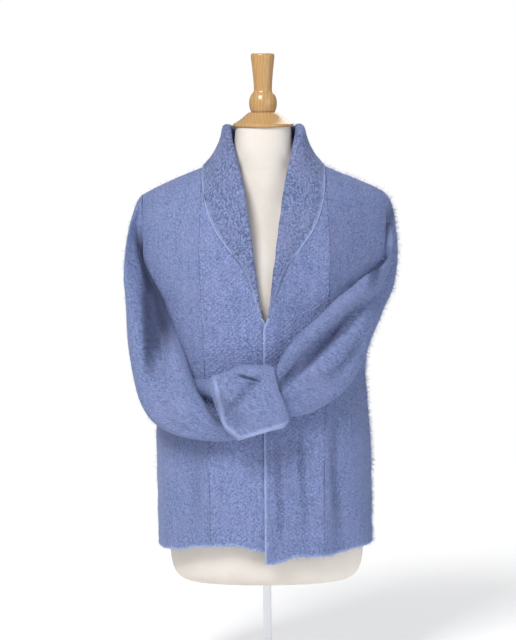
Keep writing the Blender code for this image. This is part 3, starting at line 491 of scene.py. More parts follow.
def squared(values: np.ndarray, power: float) -> np.ndarray:
    """Returns sines or cosines drawn towards those of a rounded square of a power."""
    return np.sign(values) * np.abs(values) ** (2 / power)


def circle(sides: int) -> np.ndarray:
    """Returns a ring of radius 1 about the pole."""
    turn = turns(sides)
    return np.stack([np.cos(turn), np.sin(turn), np.zeros(sides)], -1)


def hermite(
    start: np.ndarray, end: np.ndarray, leave: np.ndarray, arrive: np.ndarray, t: np.ndarray
) -> np.ndarray:
    """Returns the points at share t of the smooth curves from start to end.

    Args:
        start: where the curves start.
        end: where they end.
        leave: their slope at the start.
        arrive: their slope at the end.
        t: share of the way, from 0 to 1.

    Returns:
        The points.
    """
    rise = (3 - 2 * t) * t * t
    bend = leave * t * (1 - t) ** 2 - arrive * t * t * (1 - t)
    return start * (1 - rise) + end * rise + bend


def resampled(rings: np.ndarray, count: int) -> np.ndarray:
    """Returns count rings along a smooth curve through the given rings.

    Args:
        rings: rings of points.
        count: how many to give.

    Returns:
        The new rings.
    """
    at = np.linspace(0, len(rings) - 1, count)
    i = np.clip(at.astype(int), 0, len(rings) - 2)
    slopes = np.gradient(rings, axis=0)
    share = (at - i)[:, None, None]
    return hermite(rings[i], rings[i + 1], slopes[i], slopes[i + 1], share)


def softened(points: np.ndarray, rounds: int, axis: int = 0) -> np.ndarray:
    """Returns the points with their kinks along an axis eased; the ends stay.

    Args:
        points: a line or grid of points.
        rounds: how often each point moves towards its neighbours.
        axis: the axis to ease along.

    Returns:
        The eased points.
    """
    line = np.moveaxis(points.copy(), axis, 0)
    for _ in range(rounds):
        line[1:-1] = 0.5 * line[1:-1] + 0.25 * (line[:-2] + line[2:])
    return np.moveaxis(line, 0, axis)


def run_lengths(points: np.ndarray, axis: int) -> np.ndarray:
    """Returns each point's distance along an axis of the grid, from the first point.

    Args:
        points: the points.
        axis: the grid's axis, 0 down and 1 across.

    Returns:
        The distances, in the grid's shape.
    """
    steps = np.linalg.norm(np.diff(points, axis=axis), axis=-1)
    pad = [(0, 0), (0, 0)]
    pad[axis] = (1, 0)
    return np.pad(np.cumsum(steps, axis=axis), pad)


def edge_spaced(count: int, first: bool, last: bool) -> np.ndarray:
    """Shares from 0 to 1, with two close steps at the ends that are cut edges.

    Args:
        count: number of even steps.
        first: whether the first end is an edge.
        last: whether the last end is an edge.

    Returns:
        The shares, count + 1 of them plus two for each edge.
    """
    even = list(np.linspace(0, 1, count + 1))
    step = even[1]
    near = [share * step for share in NEAR_EDGE]
    shares = even[:1] + (near if first else []) + even[1:-1]
    shares += [1 - n for n in reversed(near)] if last else []
    return np.array(shares + even[-1:])


def lumps(uv: np.ndarray, seed: int, wave: float, depth: float) -> np.ndarray:
    """Soft unevenness of handmade cloth.

    Args:
        uv: the cloth's own coordinates in metres.
        seed: fixed seed.
        wave: the middle wavelength in metres.
        depth: about how far it goes either way.

    Returns:
        The height at each point.
    """
    chance = np.random.default_rng(seed)
    height = np.zeros(uv.shape[:-1])
    for _ in range(9):
        turn, phase = chance.uniform(0, 2 * math.pi, 2)
        pitch = 2 * math.pi / (wave * chance.uniform(0.55, 1.8))
        run = uv[..., 0] * math.cos(turn) + uv[..., 1] * math.sin(turn)
        height = height + np.sin(run * pitch + phase)
    return height * depth / 3


@dataclass(frozen=True)
class CardiganBlock:
    """The cardigan's body as a maker's block: where its cloth lies."""

    cloth: float = 0.0024
    seam_gap: float = 0.00006
    neck_seam_gap: float = 0.0026
    lay_gap: float = 0.0007
    hem_z: float = 0.246
    underarm_z: float = 0.710
    chest_z: float = 0.800
    tip_z: float = 0.912
    neck_x: float = 0.080
    neck_y: float = 0.066
    ring_power: float = 2.6
    column_power: float = 1.3
    hem_fade: float = 0.5
    neck_edge_from: float = 0.750

    def shoulder_z(self, x: np.ndarray) -> np.ndarray:
        """Height of the shoulder seam at x."""
        return along(SHOULDER, "z", np.abs(x))

    def edge_height(self, level: np.ndarray) -> np.ndarray:
        """Height of a row of the body at its armhole edge.

        Args:
            level: levels: 0 at the hem, 1 at the chest line, 2 at the shoulder seam.

        Returns:
            The heights.
        """
        rise = np.sin(np.clip(level - 1, 0, 1) * math.pi / 2)
        below = self.hem_z + level * (self.chest_z - self.hem_z)
        return np.where(level > 1, self.chest_z + rise * (self.tip_z - self.chest_z), below)

    def half_width(self, flank: np.ndarray, level: np.ndarray) -> np.ndarray:
        """Half-width of the body's ring on one flank.

        Args:
            flank: below 0 on the wearer's right.
            level: levels: 0 at the hem, 1 at the chest line, 2 at the shoulder seam.

        Returns:
            The half-widths.
        """
        z = self.edge_height(level)
        right = along(BODY_ROWS, "right_half", z)
        return np.where(flank < 0, right, along(BODY_ROWS, "left_half", z))

    def angle_at(self, x: np.ndarray, level: np.ndarray) -> np.ndarray:
        """Angle round the body of a point at x on a row."""
        share = np.clip(np.abs(x) / self.half_width(x, level), 0, 1)
        return np.sign(x) * np.arcsin(share ** (self.ring_power / 2))

    def armhole_angle(self, flank: np.ndarray, level: np.ndarray) -> np.ndarray:
        """Angle of the side seam, or of the armhole's edge above the underarm.

        Args:
            flank: below 0 on the wearer's right.
            level: levels: 0 at the hem, 1 at the chest line, 2 at the shoulder seam.

        Returns:
            The angles.
        """
        edge = along(ARMHOLE, "edge", self.edge_height(level))
        share = np.clip(edge / self.half_width(flank, level), 0, 1)
        under = self.edge_height(level) <= self.underarm_z + self.seam_gap
        return np.where(under, math.pi / 2, np.arcsin(share ** (self.ring_power / 2)))

    def fold_depth(self, side: int, angle: np.ndarray, z: np.ndarray) -> np.ndarray:
        """How far the soft folds push the cloth outwards.

        Args:
            side: -1 in front, +1 behind.
            angle: angles from the middle.
            z: heights.

        Returns:
            The depths.
        """
        depth = np.zeros(np.shape(angle))
        for fold in FOLDS:
            if fold.side == side:
                off = (np.degrees(angle) - fold.angle) / fold.spread
                fade = 1 - smooth_step(self.hem_z, fold.top_z, z)
                depth = depth + fold.depth * np.exp(-off * off) * fade
        return depth

    def depth(self, side: int, z: np.ndarray) -> np.ndarray:
        """Depth of the body to the front (side -1) or the back (+1)."""
        return along(BODY_ROWS, "front_depth" if side < 0 else "back_depth", z)

    def point(
        self, side: int, angle: np.ndarray, level: np.ndarray, hem: Sequence[SeamRow]
    ) -> np.ndarray:
        """Outer surface of the body.

        Args:
            side: -1 in front, +1 behind.
            angle: angle from the middle, positive to the wearer's left.
            level: 0 at the hem, 1 at the chest line, 2 at the shoulder seam.
            hem: the hem's table.

        Returns:
            The points.
        """
        dome = np.clip(level - 1, 0, None) * math.pi / 2
        depth = self.depth(side, self.edge_height(level))
        wide = np.abs(np.sin(angle)) ** (2 / self.ring_power)
        deep = squared(np.cos(angle), self.ring_power)
        x = self.half_width(angle, level) * np.sign(angle) * wide
        fade = 1 - smooth_step(0, self.hem_fade, level)
        wave = (along(hem, "z", np.abs(x)) - self.hem_z) * fade
        low = self.hem_z + level * (self.chest_z - self.hem_z) + wave
        high = self.chest_z + np.sin(dome) * (self.shoulder_z(x) - self.chest_z)
        z = np.where(level > 1, high, low)
        y = side * depth * np.cos(dome) * deep
        out = self.fold_depth(side, angle, z)
        return np.stack([x + out * np.sin(angle), y + side * out * np.cos(angle), z], -1)

    def ring_at(self, x: np.ndarray, z: np.ndarray) -> tuple[np.ndarray, np.ndarray, np.ndarray]:
        """Share of the shoulder's rise, half-width and edge height of the ring through x and z.

        Args:
            x: distances from the middle.
            z: heights.

        Returns:
            The shares, half-widths and edge heights.
        """
        rise = np.clip((z - self.chest_z) / (self.shoulder_z(x) - self.chest_z), 0, 1)
        edge_z = np.where(z > self.chest_z, self.chest_z + rise * (self.tip_z - self.chest_z), z)
        right = along(BODY_ROWS, "right_half", edge_z)
        return rise, np.where(x < 0, right, along(BODY_ROWS, "left_half", edge_z)), edge_z

    def surface_y(self, side: int, x: np.ndarray, z: np.ndarray) -> np.ndarray:
        """Depth of the body's outer surface behind or before a point at x and z.

        Args:
            side: -1 in front, +1 behind.
            x: distances from the middle.
            z: heights.

        Returns:
            The y of each point.
        """
        rise, half, edge_z = self.ring_at(x, z)
        shape = np.clip(1 - (np.abs(x) / half) ** self.ring_power, 0, 1) ** (1 / self.ring_power)
        return side * self.depth(side, edge_z) * np.sqrt(1 - rise * rise) * shape

    def band_seam_x(self, level: np.ndarray) -> np.ndarray:
        """Distance from the middle of the seam between a front and its band."""
        return along(BAND_SEAM, "x", level)

    def neck_edge_x(self, level: np.ndarray, edge_x: float) -> np.ndarray:
        """Inner edge of a band: the front edge at edge_x, then the slope of the neck."""
        share = smooth_step(self.neck_edge_from, NECK_EDGE[0].level, level)
        return edge_x + share * (along(NECK_EDGE, "x", level) - edge_x)

    def back_neck_level(self, x: np.ndarray) -> np.ndarray:
        """Level at which a column of the back ends.

        Args:
            x: distances from the middle.

        Returns:
            The levels.
        """
        scoop = self.neck_y * np.sqrt(np.clip(1 - (x / self.neck_x) ** 2, 0, 1))
        top = BODY_ROWS[-1]
        shape = np.clip(1 - (np.abs(x) / top.right_half) ** self.ring_power, 0, 1)
        deep = scoop / (top.back_depth * np.maximum(shape ** (1 / self.ring_power), 0.1))
        return 1 + np.arccos(np.clip(deep, 0, 1)) / (math.pi / 2)

    def neck_seam_point(self, seam: float) -> np.ndarray:
        """Point of the neck seam on the wearer's left, from 0 behind to 1 at the lapel's foot.

        Args:
            seam: share of the seam.

        Returns:
            The point.
        """
        if seam <= 0.5:
            x = self.neck_x * math.sin(seam * math.pi)
            y = self.neck_y * math.cos(seam * math.pi)
            rise = math.sin((float(self.back_neck_level(np.array(x))) - 1) * math.pi / 2)
            z = self.chest_z + rise * (float(self.shoulder_z(np.array(x))) - self.chest_z)
            return np.array([x, y, z - self.cloth / 2])
        level = np.array(2 - (seam - 0.5) * 2 * (2 - NECK_EDGE[0].level))
        x = along(NECK_EDGE, "x", level)
        point = self.point(-1, self.angle_at(x, level), level, LEFT_HEM)
        down = 0.5 * self.cloth * np.clip(level - 1, 0, 1)
        return point + np.array([0, self.cloth / 2, -float(down)])

    def clear_of_body(self, points: np.ndarray, gap: float) -> np.ndarray:
        """Returns points moved out along Y, to lie at least gap outside the body.

        Args:
            points: the points.
            gap: the distance to keep.

        Returns:
            The moved points.
        """
        moved = points.copy()
        front = self.surface_y(-1, points[:, 0], points[:, 2]) - gap
        back = self.surface_y(1, points[:, 0], points[:, 2]) + gap
        ahead = points[:, 1] < 0
        out = np.where(ahead, np.minimum(points[:, 1], front), np.maximum(points[:, 1], back))
        over = points[:, 2] > self.shoulder_z(points[:, 0])
        moved[:, 1] = np.where(over, points[:, 1], out)
        return moved

    def way_out(self, points: np.ndarray, gap: float) -> np.ndarray:
        """How far points must move, away from the body's axis, to lie gap outside it.

        Args:
            points: the points.
            gap: the distance to keep.

        Returns:
            The moves.
        """
        x, y, z = points[..., 0], points[..., 1], points[..., 2]
        rise, half, edge_z = self.ring_at(x, z)
        rise = np.minimum(rise, 0.98)
        depth = np.where(y < 0, self.depth(-1, edge_z), self.depth(1, edge_z))
        deep = np.abs(y) / (depth * np.sqrt(1 - rise * rise))
        power = self.ring_power
        size = ((np.abs(x) / half) ** power + deep**power) ** (1 / power)
        grow = np.maximum((1 + gap / np.hypot(x, y)) / size, 1) - 1
        return np.stack([x * grow, y * grow, np.zeros(np.shape(x))], -1)


BLOCK = CardiganBlock()


class NodeBoard:
    """Adds and wires the nodes of a tree."""

    def __init__(self, tree: bpy.types.NodeTree) -> None:
        """Keeps the tree to work on."""
        self.tree = tree

    def wire(self, node: bpy.types.Node, inputs: dict[Union[str, int], object]) -> None:
        """Fills a node's inputs.

        Args:
            node: the node.
            inputs: values, or sockets to wire in, by the input's name or number.
        """
        for name, value in inputs.items():
            if isinstance(value, bpy.types.NodeSocket):
                self.tree.links.new(value, node.inputs[name])
            else:
                node.inputs[name].default_value = value

    def add(
        self, kind: str, inputs: Optional[dict[Union[str, int], object]] = None, **settings: object
    ) -> bpy.types.Node:
        """A new node.

        Args:
            kind: the node's type.
            inputs: values, or sockets to wire in, by the input's name or number.
            settings: the node's own settings.

        Returns:
            The node.
        """
        node = self.tree.nodes.new(kind)
        for name, value in settings.items():
            setattr(node, name, value)
        self.wire(node, inputs or {})
        return node

    def sum(self, operation: str, *values: object) -> bpy.types.NodeSocket:
        """Output of a Math node on one to three values or sockets."""
        kind = "ShaderNodeMath"
        return self.add(kind, dict(enumerate(values)), operation=operation).outputs[0]

    def vector(self, operation: str, first: object, second: object) -> bpy.types.NodeSocket:
        """Output of a Vector Math node, whose second value is a number for SCALE.

        Args:
            operation: what it does.
            first: a vector or socket.
            second: a vector, number or socket.

        Returns:
            The output's socket.
        """
        key = "Scale" if operation == "SCALE" else 1
        values = {0: first, key: second}
        return self.add("ShaderNodeVectorMath", values, operation=operation).outputs[0]

    def ramp(self, value: object, low: float, high: float) -> bpy.types.NodeSocket:
        """A value mapped from between low and high to between 0 and 1."""
        values = {"Value": value, "From Min": low, "From Max": high}
        return self.add("ShaderNodeMapRange", values).outputs[0]

    def mark(self, name: str) -> bpy.types.NodeSocket:
        """Factor of an attribute of the mesh."""
        return self.add("ShaderNodeAttribute", attribute_name=name).outputs["Fac"]

    def place(self) -> bpy.types.NodeSocket:
        """The piece's Object coordinates."""
        return self.add("ShaderNodeTexCoord").outputs["Object"]

    def parts(self, vector: object) -> Sequence[bpy.types.NodeSocket]:
        """The three parts of a vector."""
        return self.add("ShaderNodeSeparateXYZ", {0: vector}).outputs

    def bump(self, height: object, strength: float, distance: float) -> bpy.types.NodeSocket:
        """Normal of a Bump node."""
        values = {"Height": height, "Strength": strength, "Distance": distance}
        return self.add("ShaderNodeBump", values).outputs[0]

    def chance(self, seed: object, low: object, high: object) -> bpy.types.NodeSocket:
        """A random value for each instance.

        Args:
            seed: the seed's socket.
            low: the smallest value, a number or a tuple of three.
            high: the largest value, of the same kind.

        Returns:
            The value's socket.
        """
        kind = "FLOAT_VECTOR" if isinstance(low, tuple) else "FLOAT"
        node = self.add("FunctionNodeRandomValue", {"Seed": seed}, data_type=kind)
        for socket in node.inputs:
            if socket.enabled and socket.name in ("Min", "Max"):
                socket.default_value = low if socket.name == "Min" else high
        return next(s for s in node.outputs if s.enabled)

    def named(self, name: str, kind: str) -> bpy.types.NodeSocket:
        """A named attribute in a geometry tree, BOOLEAN or FLOAT_VECTOR by its kind."""
        node = self.add("GeometryNodeInputNamedAttribute", {"Name": name}, data_type=kind)
        return next(s for s in node.outputs if s.enabled and s.type == kind.split("_")[-1])

    def blend(self, share: object, first: object, second: object) -> bpy.types.NodeSocket:
        """Output of a colour Mix node.

        Args:
            share: how much of the second colour.
            first: a colour or socket.
            second: a colour or socket.

        Returns:
            The mixed colour's socket.
        """
        colours = [(*c, 1.0) if isinstance(c, tuple) else c for c in (first, second)]
        node = self.add("ShaderNodeMix", data_type="RGBA")
        numbers = [i for i, socket in enumerate(node.inputs) if socket.type == "RGBA"]
        self.wire(node, {0: share, **dict(zip(numbers, colours))})
        return next(s for s in node.outputs if s.type == "RGBA")

    def noise(
        self, vector: bpy.types.NodeSocket, scale: float, detail: float = 3.0, rough: float = 0.55
    ) -> bpy.types.NodeSocket:
        """Factor of a Noise texture at a scale in waves per metre."""
        values = {"Vector": vector, "Scale": scale, "Detail": detail, "Roughness": rough}
        return self.add("ShaderNodeTexNoise", values).outputs[0]

    def stretched(
        self, vector: bpy.types.NodeSocket, scale: Point, turn: float = 0.0
    ) -> bpy.types.NodeSocket:
        """A vector turned about Z and then scaled along each axis.

        Args:
            vector: the vector's socket.
            scale: the scale along each axis.
            turn: the turn about Z in radians.

        Returns:
            The new vector's socket.
        """
        turned = self.add("ShaderNodeMapping", {"Vector": vector, "Rotation": (0, 0, turn)})
        values = {"Vector": turned.outputs[0], "Scale": scale}
        return self.add("ShaderNodeMapping", values).outputs[0]


def new_material(name: str) -> tuple[bpy.types.Material, NodeBoard, bpy.types.Node]:
    """Returns a new material with its board and its Principled shader.

    Args:
        name: its name.

    Returns:
        The material, its board and its shader.
    """
    made = bpy.data.materials.new(name)
    made.use_nodes = True
    return made, NodeBoard(made.node_tree), made.node_tree.nodes["Principled BSDF"]


@dataclass(frozen=True)
class KnitFinish:
    """Brushed mohair knit: stitches under a veil of fibres, with a soft sheen."""

    name: str
    stitch: Stitch
    pale: Colour = (0.275, 0.345, 0.605)
    deep: Colour = (0.110, 0.141, 0.275)
    warm: Colour = (0.245, 0.262, 0.455)
    # Colour of the painted highlight along rolled edges.
    rim: Colour = (0.430, 0.515, 0.800)
    pit: Colour = (0.040, 0.050, 0.105)
    # Colour of the painted shade in folds and under the arms.
    shade: Colour = PAINTED_FOLD_SHADE
    pit_step: float = 0.0105
    pit_share: float = 0.6
    stitch_width: float = 0.0052
    stitch_height: float = 0.0042
    stitch_share: float = 0.10
    hair_share: float = 2.0
    speck_share: float = 1.5
    speck_scale: float = 280.0
    sheen: float = 0.22
    sheen_tint: Colour = (0.66, 0.74, 1.0)
    bump: float = 0.7
    bump_height: float = 0.0018
    sway: float = 0.0060
    rim_highlight_share: float = 0.75
    warm_share: float = 0.45
    streak_share: float = 0.5
    patch_scale: float = 16.0
    drift_scale: float = 60.0
    pit_scale: float = 90.0
    hair_scale: Point = (420.0, 105.0, 1.0)
    cross_hair_scale: Point = (380.0, 110.0, 1.0)
    cross_hair_turn: float = 0.8
    streak_scale: Point = (110.0, 8.0, 1.0)
    sheen_rough: float = 0.45
    specular: float = 0.18

    def relief(self, board: NodeBoard, place: object) -> bpy.types.NodeSocket:
        """Height of the stitches, from 0 to 1.

        Args:
            board: the material's board.
            place: the cloth's own coordinates in metres.

        Returns:
            The height's socket.
        """
        if self.stitch is Stitch.MOSS:
            values = {"Vector": place, "Scale": 1 / self.stitch_width}
            pebbles = board.add("ShaderNodeTexVoronoi", values)
            return board.sum("MULTIPLY_ADD", pebbles.outputs["Distance"], -1.3, 1.05)
        parts = board.parts(place)
        across = board.sum("DIVIDE", parts[0], self.stitch_width)
        upward = board.sum("DIVIDE", parts[1], self.stitch_height)
        column = board.sum("FRACT", across)
        off = board.sum("ABSOLUTE", board.sum("SUBTRACT", column, 0.5))
        slanted = board.sum("MULTIPLY_ADD", off, 1.1, upward)
        loop = board.sum("SINE", board.sum("MULTIPLY", slanted, 2 * math.pi))
        ridge = board.sum("SINE", board.sum("MULTIPLY", column, math.pi))
        return board.sum("MULTIPLY", ridge, board.sum("MULTIPLY_ADD", loop, 0.28, 0.72))

    def swayed(self, board: NodeBoard, uv: object) -> bpy.types.NodeSocket:
        """The cloth's coordinates, moved a little as hand knitting wanders.

        Args:
            board: the material's board.
            uv: the cloth's own coordinates in metres.

        Returns:
            The moved coordinates' socket.
        """
        values = {"Vector": uv, "Scale": self.drift_scale, "Detail": 2.0}
        drift = board.add("ShaderNodeTexNoise", values)
        slip = board.vector("SUBTRACT", drift.outputs[1], (0.5, 0.5, 0.5))
        return board.vector("ADD", uv, board.vector("SCALE", slip, self.sway))

    def tint(self, board: NodeBoard, uv: object, light: object) -> bpy.types.NodeSocket:
        """Colour of the wool, with a painted highlight along its edges and painted shade in its
        folds.

        Args:
            board: the material's board.
            uv: the cloth's own coordinates in metres.
            light: how pale the wool is, about 0 to 1.

        Returns:
            The colour's socket.
        """
        wool = board.blend(board.ramp(light, 0.0, 1.0), self.deep, self.pale)
        tone = board.ramp(board.noise(uv, self.patch_scale, 4.0, 0.6), 0.44, 0.66)
        wool = board.blend(board.sum("MULTIPLY", tone, self.warm_share), wool, self.warm)
        # Painted highlight along the rolled edges and the flap's rims.
        wool = board.blend(board.sum("MULTIPLY", board.mark("rim"), self.rim_highlight_share), wool, self.rim)
        # Painted shade in folds and under the arms.
        wool = board.blend(board.mark("painted_shade"), wool, self.shade)
        upward = board.parts(uv)[1]
        beat = board.sum("SINE", board.sum("MULTIPLY", upward, 2 * math.pi / self.pit_step))
        uneven = board.noise(uv, self.pit_scale, 2.0)
        loose = board.sum("MULTIPLY_ADD", uneven, 2.4, board.sum("SUBTRACT", beat, 1.4))
        dots = board.sum("MULTIPLY", board.ramp(loose, 0.25, 0.75), self.pit_share)
        return board.blend(board.sum("MULTIPLY", board.mark("seam"), dots), wool, self.pit)

    def material(self) -> bpy.types.Material:
        """The finish as a material that reads the cloth's own UV map, in metres.

        Returns:
            The material.
        """
        made, board, shader = new_material(self.name)
        uv = board.add("ShaderNodeUVMap", uv_map="cloth").outputs[0]
        place = self.swayed(board, uv)
        stitches = self.relief(board, place)
        hairs = board.noise(board.stretched(place, self.hair_scale), 1.0, 4.0, 0.65)
        crossed = board.stretched(place, self.cross_hair_scale, self.cross_hair_turn)
        cross_hairs = board.noise(crossed, 1.0, 3.0, 0.6)
        fleece = board.sum("MAXIMUM", hairs, cross_hairs)
        specks = board.noise(place, self.speck_scale, 2.0, 0.5)
        streaks = board.noise(board.stretched(uv, self.streak_scale), 1.0, 3.0, 0.6)
        base = 0.48 - 0.6 * self.stitch_share
        # The stitches' height also paints shade into the colour: the pits between loops and pebbles
        # come out darker.
        light = board.sum("MULTIPLY_ADD", stitches, self.stitch_share, base)
        for layer, share, middle in (
            (fleece, self.hair_share, 0.56),
            (specks, self.speck_share, 0.5),
            (streaks, self.streak_share, 0.5),
        ):
            light = board.sum("MULTIPLY_ADD", board.sum("SUBTRACT", layer, middle), share, light)
        height = board.sum("MULTIPLY_ADD", stitches, self.stitch_share * 1.6, fleece)
        height = board.sum("MULTIPLY_ADD", specks, 0.6, height)
        board.wire(shader, {
            "Base Color": self.tint(board, uv, light),
            "Normal": board.bump(height, self.bump, self.bump_height),
            "Roughness": board.sum("MULTIPLY_ADD", fleece, -0.14, 1.0),
            "Sheen Weight": self.sheen,
            "Sheen Roughness": self.sheen_rough,
            "Sheen Tint": (*self.sheen_tint, 1.0),
            "Specular IOR Level": self.specular,
        })
        return made


@dataclass(frozen=True)
class YarnFinish:
    """Loose mohair yarn and fibres, coloured in the piece's own space."""

    name: str
    pale: Colour = (0.345, 0.425, 0.720)
    deep: Colour = (0.150, 0.190, 0.365)
    # Colour of the painted shade that the fibres take in folds and under the arms.
    shade: Colour = PAINTED_FOLD_SHADE
    grain: float = 420.0
    sheen: float = 0.2

    def material(self) -> bpy.types.Material:
        """The finish as a material on Object coordinates.

        Returns:
            The material.
        """
        made, board, shader = new_material(self.name)
        place = board.place()
        strand = board.noise(place, self.grain, 3.0, 0.6)
        patch = board.noise(place, 30.0, 2.0)
        light = board.sum("MULTIPLY_ADD", patch, 0.5, board.sum("MULTIPLY", strand, 0.6))
        wool = board.blend(board.ramp(light, 0.32, 0.78), self.deep, self.pale)
        board.wire(shader, {
            # Painted shade in folds and under the arms.
            "Base Color": board.blend(board.mark("painted_shade"), wool, self.shade),
            "Normal": board.bump(strand, 0.5, 0.0006),
            "Roughness": board.sum("MULTIPLY_ADD", strand, -0.15, 1.0),
            "Sheen Weight": self.sheen,
            "Specular IOR Level": 0.15,
        })
        return made


@dataclass(frozen=True)
class JerseyFinish:
    """Ivory jersey stretched over the form."""

    name: str = "ivory_jersey"
    pale: Colour = (0.790, 0.735, 0.675)
    deep: Colour = (0.735, 0.670, 0.600)
    rib: float = 0.0011
    radius: float = 0.13

    def material(self) -> bpy.types.Material:
        """The finish as a material on Object coordinates.

        Returns:
            The material.
        """
        made, board, shader = new_material(self.name)
        place = board.place()
        parts = board.parts(place)
        round_it = board.sum("ARCTAN2", parts[1], parts[0])
        rib_pitch = 2 * math.pi * self.radius / self.rib
        ribs = board.sum("SINE", board.sum("MULTIPLY", round_it, rib_pitch))
        courses = board.sum("SINE", board.sum("MULTIPLY", parts[2], 2 * math.pi / (self.rib * 1.2)))
        weave = board.sum("MULTIPLY", ribs, board.sum("MULTIPLY_ADD", courses, 0.4, 0.6))
        patch = board.noise(place, 16.0, 4.0)
        fine = board.noise(place, 900.0, 2.0)
        light = board.sum("MULTIPLY_ADD", weave, 0.10, board.sum("MULTIPLY_ADD", fine, 0.35, patch))
        height = board.sum("MULTIPLY_ADD", fine, 0.6, weave)
        board.wire(shader, {
            "Base Color": board.blend(board.ramp(light, 0.45, 0.85), self.deep, self.pale),
            "Normal": board.bump(height, 0.22, 0.0004),
            "Roughness": board.sum("MULTIPLY_ADD", patch, 0.15, 0.74),
            "Sheen Weight": 0.10,
            "Specular IOR Level": 0.25,
        })
        return made


@dataclass(frozen=True)
class WoodFinish:
    """Turned pale hardwood under a clear gloss varnish."""

    name: str = "varnished_wood"
    pale: Colour = (0.560, 0.340, 0.140)
    deep: Colour = (0.470, 0.265, 0.098)
    gloss: float = 0.24

    def material(self) -> bpy.types.Material:
        """The finish as a material on Object coordinates, with its grain along Z.

        Returns:
            The material.
        """
        made, board, shader = new_material(self.name)
        place = board.place()
        bent = board.add("ShaderNodeTexNoise", {"Vector": place, "Scale": 14.0, "Detail": 2.0})
        moved = board.vector("ADD", place, board.vector("SCALE", bent.outputs[1], 0.02))
        long_grain = board.stretched(moved, (95.0, 95.0, 9.0))
        rings = board.add(
            "ShaderNodeTexWave",
            {
                "Vector": long_grain,
                "Scale": 0.55,
                "Distortion": 5.0,
                "Detail": 3.0,
                "Detail Scale": 1.4,
            },
            wave_type="BANDS",
            bands_direction="X",
        ).outputs[1]
        fibre = board.noise(board.stretched(place, (900.0, 900.0, 40.0)), 1.0, 3.0)
        light = board.sum("MULTIPLY_ADD", rings, 0.55, board.sum("MULTIPLY", fibre, 0.45))
        board.wire(shader, {
            "Base Color": board.blend(board.ramp(light, 0.15, 0.80), self.deep, self.pale),
            "Normal": board.bump(fibre, 0.06, 0.0004),
            "Roughness": board.sum("MULTIPLY_ADD", fibre, 0.10, self.gloss),
            "Coat Weight": 0.35,
            "Coat Roughness": 0.10,
        })
        return made


@dataclass(frozen=True)
class SteelFinish:
    """Polished plated steel with fine handling marks."""

    name: str = "plated_steel"
    bright: Colour = (0.70, 0.71, 0.73)
    dull: Colour = (0.56, 0.57, 0.60)

    def material(self) -> bpy.types.Material:
        """The finish as a material on Object coordinates.

        Returns:
            The material.
        """
        made, board, shader = new_material(self.name)
        place = board.place()
        clouds = board.noise(place, 22.0, 4.0)
        lines = board.noise(board.stretched(place, (60.0, 60.0, 1400.0)), 1.0, 2.0)
        worn = board.sum("MULTIPLY_ADD", lines, 0.06, 0.07)
        board.wire(shader, {
            "Base Color": board.blend(clouds, self.dull, self.bright),
            "Normal": board.bump(lines, 0.03, 0.0003),
            "Roughness": board.sum("MULTIPLY_ADD", clouds, 0.16, worn),
            "Metallic": 1.0,
        })
        return made


STOCKING_KNIT = KnitFinish("stocking_knit", Stitch.STOCKING)
MOSS_KNIT = KnitFinish(
    "moss_knit",
    Stitch.MOSS,
    pale=(0.330, 0.408, 0.710),
    deep=(0.138, 0.175, 0.345),
    stitch_share=0.55,
)
PEBBLED_KNIT = KnitFinish(
    "pebbled_knit",
    Stitch.MOSS,
    pale=(0.330, 0.408, 0.690),
    deep=(0.096, 0.123, 0.245),
    stitch_share=0.62,
    stitch_width=0.0046,
)
YARN = YarnFinish("mohair_yarn")
FIBRE = YarnFinish("mohair_fibre", pale=(0.345, 0.420, 0.690), deep=(0.120, 0.155, 0.295))


def new_object(name: str, data: bpy.types.ID) -> bpy.types.Object:
    """Returns a new object of a mesh, light or camera, linked to the scene at the origin.

    Args:
        name: its name.
        data: what it shows.

    Returns:
        The object.
    """
    made = bpy.data.objects.new(name, data)
    bpy.context.scene.collection.objects.link(made)
    return made


@dataclass
class ClothGrid:
    """Points of a cloth's outer face, rows by columns, with what its shell is made from."""

    points: np.ndarray
    outward: np.ndarray
    uv: np.ndarray
    closed: bool
    # rim carries a painted highlight along rolled edges, seam marks the seam's dark pits, and the
    # last mark carries a painted shade in folds and under the arms.
    rim: np.ndarray
    seam: np.ndarray
    painted_shade: np.ndarray


def grid_normals(points: np.ndarray, closed: bool) -> np.ndarray:
    """Unit normals of a grid of points; closed joins its last column to the first.

    Args:
        points: the points.
        closed: whether the last column joins the first.

    Returns:
        The normals.
    """
    upward = np.gradient(points, axis=0)
    if closed:
        across = np.roll(points, -1, axis=1) - np.roll(points, 1, axis=1)
    else:
        across = np.gradient(points, axis=1)
    return unit(np.cross(across, upward))


